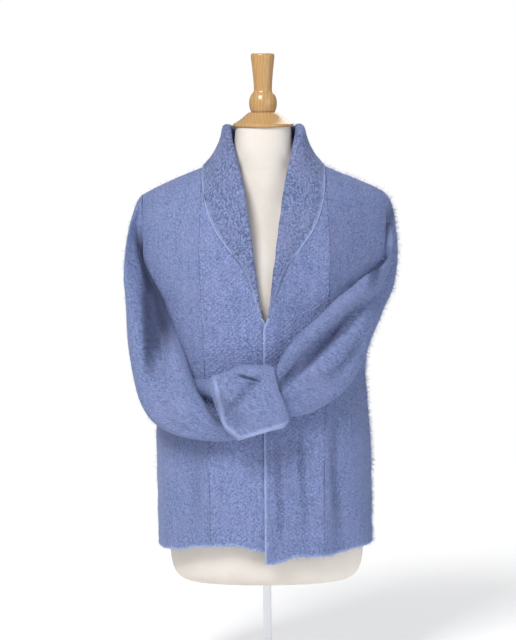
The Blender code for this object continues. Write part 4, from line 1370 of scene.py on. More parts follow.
@dataclass
class KnitShell:
    """Turns a cloth grid into a closed thin shell with a coarser inner face."""

    name: str
    grid: ClothGrid
    thickness: float
    stride: int

    def corners(self, row: int, column: int) -> tuple[int, int, int]:
        """Number of the outer vertex at a row and column, with the row and column for its UV."""
        columns = self.grid.points.shape[1]
        return row * columns + column % columns, row, column

    def inner_marks(self, count: int) -> list[int]:
        """Rows or columns of the outer face that the inner face keeps.

        Args:
            count: number of the outer face's rows or columns.

        Returns:
            Their numbers.
        """
        marks = list(range(0, count - 1, self.stride))
        if len(marks) > 1 and count - 1 - marks[-1] < self.stride / 2:
            marks.pop()
        return marks + [count - 1]

    def build(self, material: bpy.types.Material) -> bpy.types.Object:
        """Makes the shell's object.

        Args:
            material: the cloth's finish.

        Returns:
            The object, with a UV map in metres, its rim mark of painted highlight, its seam mark, its
            mark of painted shade, and an outside mark on its faces.
        """
        grid = self.grid
        rows, columns = grid.points.shape[:2]
        across = columns + 1 if grid.closed else columns
        marks_r, marks_c = self.inner_marks(rows), self.inner_marks(across)
        kept_c = marks_c[:-1] if grid.closed else marks_c
        base = rows * columns
        kept = np.ix_(marks_r, kept_c)
        inner = grid.points[kept] - self.thickness * grid.outward[kept]
        points = np.concatenate([grid.points.reshape(-1, 3), inner.reshape(-1, 3)])

        def under(i: int, j: int) -> tuple[int, int, int]:
            """Corner of the inner face at mark i of the rows and mark j of the columns."""
            return base + i * len(kept_c) + j % len(kept_c), marks_r[i], marks_c[j]

        faces = [
            [self.corners(r + i, c + j) for i, j in ((0, 0), (0, 1), (1, 1), (1, 0))]
            for r in range(rows - 1)
            for c in range(across - 1)
        ]
        outside = len(faces)
        for i in range(len(marks_r) - 1):
            for j in range(len(marks_c) - 1):
                faces.append([under(i, j), under(i + 1, j), under(i + 1, j + 1), under(i, j + 1)])
        for j, (c0, c1) in enumerate(zip(marks_c, marks_c[1:])):
            first = [self.corners(0, c) for c in range(c0, c1 + 1)]
            faces.append(first[::-1] + [under(0, j), under(0, j + 1)])
            last = [self.corners(rows - 1, c) for c in range(c0, c1 + 1)]
            faces.append(last + [under(len(marks_r) - 1, j + 1), under(len(marks_r) - 1, j)])
        if not grid.closed:
            for i, (r0, r1) in enumerate(zip(marks_r, marks_r[1:])):
                first = [self.corners(r, 0) for r in range(r0, r1 + 1)]
                faces.append(first + [under(i + 1, 0), under(i, 0)])
                last = [self.corners(r, columns - 1) for r in range(r0, r1 + 1)]
                end = len(marks_c) - 1
                faces.append(last[::-1] + [under(i, end), under(i + 1, end)])
        mesh = bpy.data.meshes.new(self.name)
        mesh.from_pydata(points.tolist(), [], [[corner[0] for corner in face] for face in faces])
        flat = np.array([[corner[1], corner[2]] for face in faces for corner in face])
        layer = mesh.uv_layers.new(name="cloth")
        layer.data.foreach_set("uv", grid.uv[flat[:, 0], flat[:, 1]].astype(np.float32).ravel())
        for title, mark in (("rim", grid.rim), ("seam", grid.seam), ("painted_shade", grid.painted_shade)):
            values = np.concatenate([mark.ravel(), mark[kept].ravel()]).astype(np.float32)
            mesh.attributes.new(title, "FLOAT", "POINT").data.foreach_set("value", values)
        marks = np.arange(len(faces)) < outside
        mesh.attributes.new("outside", "BOOLEAN", "FACE").data.foreach_set("value", marks)
        mesh.shade_smooth()
        mesh.materials.append(material)
        mesh.update()
        return new_object(self.name, mesh)


class NodesMaker:
    """Runs a geometry node tree on a carrier mesh and keeps the result as a plain mesh."""

    def __init__(self, name: str) -> None:
        """Starts an empty tree with a mesh coming in and a mesh going out.

        Args:
            name: its name.
        """
        self.tree = bpy.data.node_groups.new(name, "GeometryNodeTree")
        for way in ("INPUT", "OUTPUT"):
            self.tree.interface.new_socket("Geometry", in_out=way, socket_type="NodeSocketGeometry")
        self.board = NodeBoard(self.tree)
        self.source = self.board.add("NodeGroupInput")
        self.values: dict[str, object] = {}

    def scatter(
        self,
        points: bpy.types.NodeSocket,
        shape: bpy.types.NodeSocket,
        turn: bpy.types.NodeSocket,
        size: bpy.types.NodeSocket,
        material: bpy.types.Material,
    ) -> None:
        """Ends the tree with a shape on every point, realized and painted.

        Args:
            points: the points' socket.
            shape: the shape's socket.
            turn: each instance's rotation.
            size: each instance's scale.
            material: their finish.
        """
        values = {"Points": points, "Instance": shape, "Rotation": turn, "Scale": size}
        self.close(self.board.add("GeometryNodeInstanceOnPoints", values).outputs[0], material)

    def value(self, name: str, kind: str, amount: object) -> bpy.types.NodeSocket:
        """A named input of the tree.

        Args:
            name: the input's name.
            kind: its socket type.
            amount: what the modifier sets it to.

        Returns:
            The socket inside the tree.
        """
        made = self.tree.interface.new_socket(name, in_out="INPUT", socket_type=kind)
        self.values[made.identifier] = amount
        return next(s for s in self.source.outputs if s.identifier == made.identifier)

    def close(self, instances: bpy.types.NodeSocket, material: bpy.types.Material) -> None:
        """Ends the tree in Realize Instances and Set Material.

        Args:
            instances: the instances to realize.
            material: its finish.
        """
        real = self.board.add("GeometryNodeRealizeInstances", {"Geometry": instances})
        values = {"Geometry": real.outputs[0], "Material": material}
        painted = self.board.add("GeometryNodeSetMaterial", values)
        self.board.add("NodeGroupOutput", {"Geometry": painted.outputs[0]})

    def run(self, name: str, carrier: bpy.types.Mesh) -> bpy.types.Object:
        """Evaluates the tree.

        Args:
            name: name of the piece.
            carrier: the mesh that the tree works on.

        Returns:
            The piece as a plain mesh object.
        """
        holder = new_object(name + "_carrier", carrier)
        modifier = holder.modifiers.new(name, "NODES")
        modifier.node_group = self.tree
        for identifier, amount in self.values.items():
            modifier[identifier] = amount
        bpy.context.view_layer.update()
        graph = bpy.context.evaluated_depsgraph_get()
        mesh = bpy.data.meshes.new_from_object(holder.evaluated_get(graph), depsgraph=graph)
        mesh.name = name
        bpy.data.objects.remove(holder, do_unlink=True)
        return new_object(name, mesh)


@dataclass
class FibreHalo:
    """The loose fibres that a brushed mohair cloth wears over its outer face.

    Each is a straight tapered strip. Its curl leans its tip sideways by a share of its length.
    """

    per_square_metre: float = 142000.0
    length: float = 0.0088
    width: float = 0.00038
    lift: float = 0.55
    curl: float = 0.25
    taper: float = 0.75
    smallest: float = 0.45
    largest: float = 1.25
    seed: int = 3

    def build(
        self, name: str, cloth: bpy.types.Object, material: bpy.types.Material
    ) -> bpy.types.Object:
        """Scatters the fibres over a cloth.

        Args:
            name: name of the piece.
            cloth: the shell that wears them.
            material: the fibres' finish.

        Returns:
            The fibres as one mesh.
        """
        maker = NodesMaker(name)
        board, number = maker.board, "NodeSocketFloat"
        amounts = {
            "Density": self.per_square_metre,
            "Length": self.length,
            "Width": self.width,
            "Lift": self.lift,
            "Curl": self.curl,
        }
        sockets = {title: maker.value(title, number, amount) for title, amount in amounts.items()}
        length = sockets["Length"]
        seed = maker.value("Seed", "NodeSocketInt", self.seed)
        outside = board.named("outside", "BOOLEAN")
        spread = board.add(
            "GeometryNodeDistributePointsOnFaces",
            {"Mesh": maker.source.outputs[0], "Selection": outside, "Seed": seed},
            distribute_method="RANDOM",
        )
        density = next(s for s in spread.inputs if s.name == "Density" and s.enabled)
        board.tree.links.new(sockets["Density"], density)
        strip = board.add(
            "GeometryNodeMeshGrid",
            {"Size X": sockets["Width"], "Size Y": length, "Vertices X": 2, "Vertices Y": 2},
        )
        spot = board.parts(board.add("GeometryNodeInputPosition").outputs[0])
        share = board.sum("ADD", board.sum("DIVIDE", spot[1], length), 0.5)
        thin = board.sum("MULTIPLY", spot[0], board.sum("MULTIPLY_ADD", share, -self.taper, 1.0))
        reach = board.sum("MULTIPLY", sockets["Curl"], length)
        lean = board.sum("MULTIPLY", board.sum("MULTIPLY", share, share), reach)
        tall = board.sum("MULTIPLY", share, length)
        bent = board.add("ShaderNodeCombineXYZ", {0: thin, 1: lean, 2: tall}).outputs[0]
        values = {"Geometry": strip.outputs[0], "Position": bent}
        hair = board.add("GeometryNodeSetPosition", values)
        wild = board.chance(seed, (-1, -1, -1), (1, 1, 1))
        stem = board.vector("SCALE", spread.outputs["Normal"], sockets["Lift"])
        way = board.vector("ADD", stem, wild)
        aimed = board.add("FunctionNodeAlignRotationToVector", {"Vector": way}, axis="Z")
        angles = board.add("ShaderNodeCombineXYZ", {2: board.chance(seed, 0.0, 2 * math.pi)})
        twist = board.add("FunctionNodeEulerToRotation", {0: angles.outputs[0]})
        turned = board.add(
            "FunctionNodeRotateRotation",
            {"Rotation": aimed.outputs[0], "Rotate By": twist.outputs[0]},
            rotation_space="LOCAL",
        )
        size = board.chance(seed, self.smallest, self.largest)
        maker.scatter(spread.outputs["Points"], hair.outputs[0], turned.outputs[0], size, material)
        return maker.run(name, cloth.data.copy())


@dataclass
class YarnBumps:
    """Rounded bumps of yarn, one for each stitch that stands proud of the cloth."""

    width: float = 0.0046
    height: float = 0.0036
    rise: float = 0.0011
    smallest: Point = (0.60, 0.60, 0.3)
    largest: Point = (1.20, 1.30, 1.35)
    seed: int = 5

    def build(
        self,
        name: str,
        spots: np.ndarray,
        facing: np.ndarray,
        course: np.ndarray,
        material: bpy.types.Material,
    ) -> bpy.types.Object:
        """Sets a bump at each spot.

        Args:
            name: name of the piece.
            spots: where the bumps sit, on the cloth's outer face.
            facing: the cloth's normal at each spot.
            course: the direction of each bump's long side.
            material: the yarn's finish.

        Returns:
            The bumps as one mesh.
        """
        carrier = bpy.data.meshes.new(name + "_spots")
        carrier.from_pydata(spots.tolist(), [], [])
        for title, vectors in (("facing", facing), ("course", course)):
            layer = carrier.attributes.new(title, "FLOAT_VECTOR", "POINT")
            layer.data.foreach_set("vector", vectors.astype(np.float32).ravel())
        maker = NodesMaker(name)
        board = maker.board
        sizes = (self.width / 2, self.height / 2, self.rise)
        half = maker.value("Half size", "NodeSocketVector", sizes)
        seed = maker.value("Seed", "NodeSocketInt", self.seed)
        ball = board.add("GeometryNodeMeshIcoSphere", {"Radius": 1.0, "Subdivisions": 1})
        smooth = board.add("GeometryNodeSetShadeSmooth", {"Geometry": ball.outputs[0]})
        away, along_it = (board.named(title, "FLOAT_VECTOR") for title in ("facing", "course"))
        up = board.add("FunctionNodeAlignRotationToVector", {"Vector": away}, axis="Z")
        turn = board.add(
            "FunctionNodeAlignRotationToVector",
            {"Rotation": up.outputs[0], "Vector": along_it},
            axis="X",
            pivot_axis="Z",
        )
        size = board.vector("MULTIPLY", half, board.chance(seed, self.smallest, self.largest))
        maker.scatter(maker.source.outputs[0], smooth.outputs[0], turn.outputs[0], size, material)
        return maker.run(name, carrier)


@dataclass
class Materials:
    """The cardigan's finishes, made once."""

    stocking: bpy.types.Material
    moss: bpy.types.Material
    pebbled: bpy.types.Material
    yarn: bpy.types.Material
    fibre: bpy.types.Material


@dataclass
class KnitPiece:
    """A knitted piece of the cardigan: a thin shell with its stitches and its fibres."""

    name: str
    node: str
    stitch: Stitch = Stitch.STOCKING
    hold: Hold = Hold.HUNG
    rests_on: tuple[str, ...] = ("form_torso",)
    flat: tuple[float, float] = (1.0, 1.0)
    area: float = 1.0
    closed: bool = False
    pebbled: bool = False
    stride: int = 3
    creases: tuple[Crease, ...] = ()
    free_edges: tuple[str, ...] = ()
    seam_edges: tuple[str, ...] = ()
    seam_reach: float = 0.0024
    uneven: float = 0.0007
    wave: float = 0.075
    seed: int = 1
    edge_round: float = 0.0008
    seam_sunk: float = 0.0003
    bead: float = 0.0009
    bead_reach: float = 0.0050
    rim_highlight_reach: float = 1.3
    bump_wander: float = 0.0010
    bump_margin: float = 0.003
    # Share by which the whole piece is darkened evenly, through the painted shade's mark.
    tone: float = 0.0
    thick: float = 0.0024
    from_last_column: bool = False
    shell_points: np.ndarray = field(default_factory=lambda: np.zeros(0))
    shell_outward: np.ndarray = field(default_factory=lambda: np.zeros(0))
    shell_uv: np.ndarray = field(default_factory=lambda: np.zeros(0))

    def surface(self) -> tuple[np.ndarray, np.ndarray]:
        """Returns the outer face's points and its outward normals, rows by columns."""
        raise NotImplementedError

    def crease_depth(
        self, points: np.ndarray, outward: np.ndarray
    ) -> tuple[np.ndarray, np.ndarray, np.ndarray]:
        """How far the piece's own creases move its points outwards, and the shade and highlight they
        paint on the wool.

        Args:
            points: the points before they are creased.
            outward: their normals.

        Returns:
            The move along each normal, the painted shade and the painted highlight, both from 0 to 1.
        """
        moved, shade, pale = np.zeros((3, *points.shape[:2]))
        x, y, z = points[..., 0], points[..., 1], points[..., 2]
        for crease in self.creases:
            run = np.array([crease.x1 - crease.x0, crease.z1 - crease.z0])
            long = float(np.hypot(*run))
            way = run / long
            share = ((x - crease.x0) * way[0] + (z - crease.z0) * way[1]) / long
            off = (x - crease.x0) * way[1] - (z - crease.z0) * way[0]
            off = off - crease.bow * 4 * np.clip(share, 0, 1) * (1 - np.clip(share, 0, 1))
            taper = smooth_step(*CREASE_START, share) * (1 - smooth_step(*CREASE_END, share))
            facing = crease.side * outward[..., 1]
            off, here = off / crease.width, taper * (y < crease.nearer)
            moved += crease.depth * np.exp(-(off**2)) * here * smooth_step(*CREASE_FACING, facing)
            # Painted shade where the crease's shade is above 0, a painted highlight where it is below
            # 0.
            tone = crease.shade * np.exp(-(off**4)) * here
            shade, pale = np.maximum(shade, tone), np.maximum(pale, -tone)
        return moved, shade, pale

    def edge_distances(self, points: np.ndarray) -> dict[str, np.ndarray]:
        """Distance of each point from each of the grid's edges.

        Args:
            points: the points.

        Returns:
            The distances by the edge's name.
        """
        down = run_lengths(points, 0)
        found = {"first_row": down, "last_row": down[-1:] - down}
        if not self.closed:
            across = run_lengths(points, 1)
            found["first_column"] = across
            found["last_column"] = across[:, -1:] - across
        return found

    def metres(self, points: np.ndarray) -> np.ndarray:
        """The cloth's own coordinates: distance across and along it, in metres.

        Args:
            points: the points.

        Returns:
            The coordinates, with one more column on a closed piece.
        """
        along_it = run_lengths(points, 0).mean(1)
        if self.closed:
            first = np.concatenate([points, points[:, :1]], 1)
            total = run_lengths(first, 1)[:, -1].mean()
            width = STOCKING_KNIT.stitch_width
            total = round(total / width) * width
            across = np.linspace(0, total, points.shape[1] + 1)
            return np.stack(np.meshgrid(across, along_it), -1)
        across = run_lengths(points, 1)
        if self.from_last_column:
            across = across[:, -1:] - across
        return np.stack([across, np.broadcast_to(along_it[:, None], across.shape)], -1)

    def grid(self) -> ClothGrid:
        """The outer face with its creases, unevenness and rounded edges, and its marks of painted
        shade and painted highlight.

        Returns:
            The grid, which the piece also keeps.
        """
        points, outward = self.surface()
        uv = self.metres(points)
        flat_uv = uv[:, : points.shape[1]]
        # The creases' painted shade and painted highlight, which starts the rim mark.
        move, painted_shade, rim = self.crease_depth(points, outward)
        painted_shade = np.maximum(painted_shade, self.tone)
        move += lumps(flat_uv, self.seed, self.wave, self.uneven)
        seam = np.zeros(points.shape[:2])
        for edge, far in self.edge_distances(points).items():
            near = np.clip(1 - far / self.edge_round, 0, 1)
            sunk = BLOCK.cloth / 2 if edge in self.free_edges else self.seam_sunk
            move -= sunk * (1 - np.sqrt(1 - near * near))
            if edge in self.free_edges:
                at = (far - 0.5 * self.bead_reach) / (0.5 * self.bead_reach)
                move += self.bead * np.exp(-at * at)
                # A painted highlight along each free edge's rolled bead.
                rim = np.maximum(rim, 1 - smooth_step(0.0, self.bead_reach * self.rim_highlight_reach, far))
            if edge in self.seam_edges:
                seam = np.maximum(seam, 1 - smooth_step(0.0, self.seam_reach, far))
        raised = points + outward * move[..., None]
        again = grid_normals(raised, self.closed)
        sign = np.sign(np.sum(again * outward, -1, keepdims=True))
        self.shell_points, self.shell_outward, self.shell_uv = raised, again * sign, uv
        return ClothGrid(raised, self.shell_outward, uv, self.closed, rim, seam, painted_shade)

    def bump_spots(self) -> tuple[np.ndarray, np.ndarray, np.ndarray]:
        """Where the purl bumps of moss stitch sit: points, normals and directions across.

        Returns:
            The three arrays.
        """
        wide, tall = MOSS_KNIT.stitch_width, MOSS_KNIT.stitch_height
        points, outward, uv = self.shell_points, self.shell_outward, self.shell_uv
        step = -1 if self.from_last_column else 1
        heights = uv[:, 0, 1]
        spots, facing, course = [], [], []
        chance = np.random.default_rng(self.seed)
        for j in range(int(heights[-1] / tall)):
            at = np.interp((j + 0.5) * tall, heights, np.arange(len(heights)))
            r = min(int(at), len(heights) - 2)
            t = at - r
            line = points[r] * (1 - t) + points[r + 1] * t
            normal = outward[r] * (1 - t) + outward[r + 1] * t
            across = (uv[r, :, 0] * (1 - t) + uv[r + 1, :, 0] * t)[::step]
            count = int((across[-1] - self.bump_margin) / wide)
            places = (np.arange(j % 2, count, 2) + 0.5) * wide
            places = places + chance.normal(0, self.bump_wander, len(places))
            if not len(places):
                continue
            columns = np.interp(places, across, np.arange(len(across)))
            c = np.clip(columns.astype(int), 0, len(across) - 2)
            share = (columns - c)[:, None]
            line, normal = line[::step], normal[::step]
            spots.append(line[c] * (1 - share) + line[c + 1] * share)
            facing.append(unit(normal[c] * (1 - share) + normal[c + 1] * share))
            course.append(unit(line[c + 1] - line[c]))
        return np.concatenate(spots), np.concatenate(facing), np.concatenate(course)

    def build(self, materials: Materials, halo: FibreHalo) -> bpy.types.Object:
        """Makes the shell, its bumps and its fibres, and sets them in the frame.

        Args:
            materials: the cardigan's finishes.
            halo: the fibres' sizes.

        Returns:
            The shell.
        """
        moss = self.stitch is Stitch.MOSS
        shell = KnitShell(self.name, self.grid(), self.thick, self.stride)
        knit = materials.moss if moss else materials.stocking
        cloth = shell.build(materials.pebbled if self.pebbled else knit)
        extras = [halo.build(self.name + "_fibres", cloth, materials.fibre)]
        if moss:
            title = self.name + "_bumps"
            extras.append(YarnBumps().build(title, *self.bump_spots(), materials.yarn))
        for piece in (cloth, *extras):
            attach(piece, BODY)
        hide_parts(self.node)
        across = run_lengths(self.shell_points, 1)[:, -1].max()
        length = run_lengths(self.shell_points, 0)[-1].max()
        count = 0
        for piece in (cloth, *extras):
            piece.data.calc_loop_triangles()
            count += len(piece.data.loop_triangles)
        said = "%s: %.3f by %.3f m, %d triangles with its stitches"
        LOG.info(said, self.name, across, length, count)
        return cloth


def body_rows(count_low: int, count_high: int) -> np.ndarray:
    """Levels of a body panel's rows, close together at the hem and at the top.

    Args:
        count_low: steps up to the chest line.
        count_high: steps above it.

    Returns:
        The levels.
    """
    low = edge_spaced(count_low, True, False)
    high = 1 + edge_spaced(count_high, False, True)
    return np.concatenate([low[:-1], high])


@dataclass
class BodyPanel(KnitPiece):
    """A panel of the body, between two columns of the block."""

    side: int = -1
    flank: Flank = Flank.RIGHT
    hem: tuple[SeamRow, ...] = RIGHT_HEM
    columns: int = 60
    rows_low: int = 190
    rows_high: int = 64
    slope_step: float = 0.001
    ripple_seed: int = 40
    ripple_wave: float = 0.045
    ripple_depth: float = 0.0011
    ripple_top: float = 0.10

    def at(self, u: np.ndarray, level: np.ndarray) -> np.ndarray:
        """Points of the panel at shares u across it and at levels of the body."""
        raise NotImplementedError

    def surface(self) -> tuple[np.ndarray, np.ndarray]:
        """Returns the outer face's points and its outward normals, rows by columns.

        Returns:
            The points and the normals.
        """
        shares = edge_spaced(self.columns, True, True)
        u, level = np.meshgrid(shares, body_rows(self.rows_low, self.rows_high))
        points = self.at(u, level)
        step = self.slope_step
        across = self.at(u + step, level) - self.at(u - step, level)
        upward = self.at(u, level + step) - self.at(u, level - step)
        normal = unit(np.cross(across, upward))
        sign = np.sign(np.sum(normal * (points - np.array(BODY_MIDDLE)), -1, keepdims=True))
        limit = BLOCK.seam_gap / 2
        points[..., 1] = self.side * np.maximum(self.side * points[..., 1], limit)
        ripple = lumps(points[..., ::2], self.ripple_seed, self.ripple_wave, self.ripple_depth)
        points[..., 2] += ripple * (1 - smooth_step(0.0, self.ripple_top, level))
        return points, normal * sign


@dataclass
class SideFront(BodyPanel):
    """A front from its band's seam to the side seam and armhole."""

    def at(self, u: np.ndarray, level: np.ndarray) -> np.ndarray:
        """Points of the panel at shares u across it and at levels of the body.

        Args:
            u: shares across the piece.
            level: levels: 0 at the hem, 1 at the chest line, 2 at the shoulder seam.

        Returns:
            The points.
        """
        flank = self.flank.value
        seam = flank * (BLOCK.band_seam_x(level) + BLOCK.seam_gap / 2)
        start = np.abs(BLOCK.angle_at(seam, level))
        angle = start + u * (BLOCK.armhole_angle(np.array(flank), level) - start)
        return BLOCK.point(-1, flank * angle, level, self.hem)


@dataclass
class FrontBand(BodyPanel):
    """A front band in moss stitch, from its edge to the seam with its front."""

    edge_x: float = -0.006
    lift: float = 0.0
    lift_full: float = 0.012
    lift_start: float = 0.034
    lift_top: float = 0.780
    lift_end: float = 0.860

    def at(self, u: np.ndarray, level: np.ndarray) -> np.ndarray:
        """Points of the band at shares u across it and at levels of the body.

        Args:
            u: shares across the piece.
            level: levels: 0 at the hem, 1 at the chest line, 2 at the shoulder seam.

        Returns:
            The points.
        """
        edge = BLOCK.neck_edge_x(level, self.edge_x)
        x = edge + u * (BLOCK.band_seam_x(level) - BLOCK.seam_gap / 2 - edge)
        points = BLOCK.point(-1, BLOCK.angle_at(self.flank.value * x, level), level, self.hem)
        share = 1 - smooth_step(self.lift_full, self.lift_start, x)
        share = share * (1 - smooth_step(self.lift_top, self.lift_end, level))
        points[..., 1] -= self.lift * share
        return points


@dataclass
class BackPanel(BodyPanel):
    """The back in one piece, from side seam to side seam."""

    def at(self, u: np.ndarray, level: np.ndarray) -> np.ndarray:
        """Points of the back at shares u across it and at levels of the body.

        Args:
            u: shares across the piece.
            level: levels: 0 at the hem, 1 at the chest line, 2 at the shoulder seam.

        Returns:
            The points.
        """
        across = 2 * u - 1
        angle = np.sign(across) * np.abs(across) ** BLOCK.column_power
        angle = angle * BLOCK.armhole_angle(across, level)
        wide = np.abs(np.sin(angle)) ** (2 / BLOCK.ring_power)
        x = BODY_ROWS[-1].right_half * np.sign(angle) * wide
        scaled = 1 + (level - 1) * (BLOCK.back_neck_level(x) - 1)
        return BLOCK.point(1, angle, np.where(level > 1, scaled, level), self.hem)


@dataclass
class ShawlCollar(KnitPiece):
    """The shawl collar in moss stitch: its stand, its roll and its fall."""

    stations: int = 150
    stand_steps: int = 14
    roll_steps: int = 14
    fall_steps: int = 36
    foot_z: float = 0.690
    foot_rows: int = 12
    foot_edge_x: float = -0.004
    foot_size: float = 0.10
    foot_taper: float = 0.8
    foot_inset: float = 0.0010
    ease_across: int = 6
    ease_along: int = 4
    right_foot_lift: float = 0.0026
    left_foot_lift: float = 0.0040

    def section(self, station: float) -> np.ndarray:
        """Middle line of the wall at a station from 0 behind the neck to 1 at the lapel's foot.

        Args:
            station: share of the collar's half.

        Returns:
            The points of the line.
        """

        def value(column: str) -> float:
            """The collar table's value at the station."""
            return float(along(COLLAR, column, np.array(station)))

        roll = np.array([value("roll_x"), value("roll_y"), value("roll_z")])
        edge = np.array([value("edge_x"), value("edge_y"), value("edge_z")])
        radius, lay = value("radius"), BLOCK.lay_gap + BLOCK.cloth / 2
        edge = BLOCK.clear_of_body(edge[None], lay)[0]
        roll = BLOCK.clear_of_body(roll[None], radius - BLOCK.cloth / 2)[0]
        seam = BLOCK.neck_seam_point(value("seam"))
        seam = seam + unit(roll - seam) * BLOCK.neck_seam_gap
        tip = -unit(unit(edge - roll) + unit(seam - roll))
        outwards = np.array([roll[0], roll[1], 0.0]) / math.hypot(roll[0], roll[1])
        over = unit(outwards - tip * np.dot(outwards, tip))
        centre = roll - tip * radius
        turns = np.linspace(0, math.pi, self.roll_steps + 1)[:, None]
        arc = centre + radius * (tip * np.sin(turns) - over * np.cos(turns))
        up = np.arange(self.stand_steps)[:, None] / self.stand_steps
        stand = seam + (arc[0] - seam) * up
        shares = edge_spaced(self.fall_steps, False, True)[1:, None]
        puffed = over * value("puff") * 4 * shares * (1 - shares)
        fall = BLOCK.clear_of_body(arc[-1] + (edge - arc[-1]) * shares + puffed, lay)
        return np.concatenate([stand, arc, fall])

    def foot_path(self, share: float, lift: float) -> np.ndarray:
        """Point over the band's edge that the lapel's foot runs out along.

        Args:
            share: share of the foot's length.
            lift: how far it lies off the band.

        Returns:
            The point.
        """
        top_z = COLLAR[-1].roll_z
        z = top_z + share * (self.foot_z - top_z)
        level = np.array((z - BLOCK.hem_z) / (BLOCK.chest_z - BLOCK.hem_z))
        x = float(BLOCK.neck_edge_x(level, self.foot_edge_x))
        y = float(BLOCK.surface_y(-1, np.array(x), np.array(z)))
        return np.array([x + self.foot_inset, y - lift, z])

    def surface(self) -> tuple[np.ndarray, np.ndarray]:
        """Returns the outer face's points and its outward normals, rows by columns.

        Returns:
            The points and the normals.
        """
        half = [self.section(i / self.stations) for i in range(self.stations + 1)]
        feet = []
        for lift in (self.right_foot_lift, self.left_foot_lift):
            last = half[-1] - self.foot_path(0.0, lift)
            shares = np.arange(1, self.foot_rows + 1) / self.foot_rows
            sizes = 1 + (self.foot_size - 1) * shares**self.foot_taper
            feet.append([self.foot_path(s, lift) + last * size for s, size in zip(shares, sizes)])
        mirror = np.array([-1, 1, 1])
        right = [s * mirror for s in half[1:] + feet[0]][::-1]
        middle = np.array(right + half + feet[1])
        middle = softened(softened(middle, self.ease_across, 1), self.ease_along, 0)
        normal = unit(np.cross(np.gradient(middle, axis=1), np.gradient(middle, axis=0)))
        return middle + normal * BLOCK.cloth / 2, normal


@dataclass
class KnottedSleeve(KnitPiece):
    """A sleeve as a tube, from the armhole through the knot to its open cuff."""

    flank: Flank = Flank.RIGHT
    rows: tuple[SleeveRow, ...] = RIGHT_SLEEVE
    sides: int = 96
    head_rings: int = 40
    rings: int = 240
    power: float = 2.4
    corner: float = 0.0
    head_outward: Point = (0.080, 0.0, -0.070)
    head_pull: float = 0.190
    head_ridge: float = 0.0
    ridge_turn: float = 50.0
    ridge_spread: float = 32.0
    off_body: float = 0.0058
    easing: int = 10

    def armhole_ring(self) -> np.ndarray:
        """Ring of the sleeve's head, just outside the armhole's edge.

        Returns:
            The ring.
        """
        flank = self.flank.value
        turn = np.radians(along(SLEEVE_HEAD, "armhole", np.degrees(turns(self.sides))))
        middle, half = (BLOCK.tip_z + BLOCK.underarm_z) / 2, (BLOCK.tip_z - BLOCK.underarm_z) / 2
        z = middle + np.cos(turn) * half
        rise = np.clip((z - BLOCK.chest_z) / (BLOCK.tip_z - BLOCK.chest_z), 0, 1)
        below = (z - BLOCK.hem_z) / (BLOCK.chest_z - BLOCK.hem_z)
        level = np.where(z > BLOCK.chest_z, 1 + np.arcsin(rise) / (math.pi / 2), below)
        angle = flank * BLOCK.armhole_angle(np.array(flank), level)
        front = BLOCK.point(-1, angle, level, BACK_HEM)
        back = BLOCK.point(1, angle, level, BACK_HEM)
        return np.where(turn[:, None] < math.pi, front, back)

    def travel(self, index: int) -> np.ndarray:
        """Direction in which the sleeve runs at a row of its table.

        Args:
            index: number of the row.

        Returns:
            The direction.
        """
        before = self.rows[max(index - 1, 0)]
        after = self.rows[min(index + 1, len(self.rows) - 1)]
        return unit(np.add(after.inner, after.outer) - np.add(before.inner, before.outer))

    def ring(self, index: int) -> np.ndarray:
        """Ring of the sleeve at a row of its table.

        Args:
            index: number of the row.

        Returns:
            The ring.
        """
        row = self.rows[index]
        inner, outer = np.array(row.inner), np.array(row.outer)
        across = outer - inner
        face = unit(self.flank.value * np.cross(self.travel(index), across))
        half = np.linalg.norm(across) / 2
        turn = turns(self.sides)
        wide, high = squared(np.cos(turn), self.power), squared(np.sin(turn), self.power)
        tall = np.where(high > 0, row.face_half, row.back_half)
        off = (wide - row.trough_at) / row.trough_spread
        trough = row.trough_depth * np.exp(-off * off) * np.clip(high, 0, None)
        spread = np.outer(wide, unit(across) * half)
        return (inner + outer) / 2 + spread + np.outer(high * tall - trough, face)

    def cornered(self, points: np.ndarray) -> np.ndarray:
        """Rings whose two folds are drawn in towards the cuff, as its corners are round.

        Args:
            points: the points.

        Returns:
            The drawn-in rings.
        """
        if not self.corner:
            return points
        far = run_lengths(points, 0)
        far = (far[-1:] - far).mean(1)
        short = np.clip(1 - far / self.corner, 0, 1)
        drawn = self.corner * (1 - np.sqrt(1 - short * short))
        centre = points.mean(1, keepdims=True)
        across = points[:, :1] - points[:, self.sides // 2 : self.sides // 2 + 1]
        half = np.linalg.norm(across, axis=-1, keepdims=True) / 2
        share = np.sum((points - centre) * unit(across), -1, keepdims=True) / half
        return points - unit(across) * share * drawn[:, None, None]

    def surface(self) -> tuple[np.ndarray, np.ndarray]:
        """Returns the outer face's points and its outward normals, rows by columns.

        Returns:
            The points and the normals.
        """
        flank = self.flank.value
        leave = np.array(self.head_outward) * np.array([flank, 1, 1])
        arrive = self.travel(0) * self.head_pull
        start = self.armhole_ring()
        rings = np.array([self.ring(i) for i in range(len(self.rows))])
        shares = edge_spaced(self.head_rings, True, False)[:-1]
        off = (np.degrees(turns(self.sides)) - self.ridge_turn) / self.ridge_spread
        ridge = np.outer(self.head_ridge * np.exp(-off * off), [0, -1, 0])
        head = [
            hermite(start, rings[0], leave, arrive, t) + ridge * math.sin(math.pi * t)
            for t in shares
        ]
        run = resampled(rings, self.rings)
        ends = [run[-1] + (run[-2] - run[-1]) * share for share in reversed(NEAR_EDGE)]
        points = self.cornered(np.concatenate([head, run[:-1], ends, run[-1:]]))
        free = np.minimum(np.arange(len(points)) / len(head), 1)[:, None, None]
        points = points + BLOCK.way_out(points, self.off_body) * free
        points = softened(points, self.easing, 0)
        normal = grid_normals(points, True)
        centre = points.mean(1, keepdims=True)
        sign = np.sign(np.sum(normal * (points - centre), -1).mean())
        return points, normal * sign


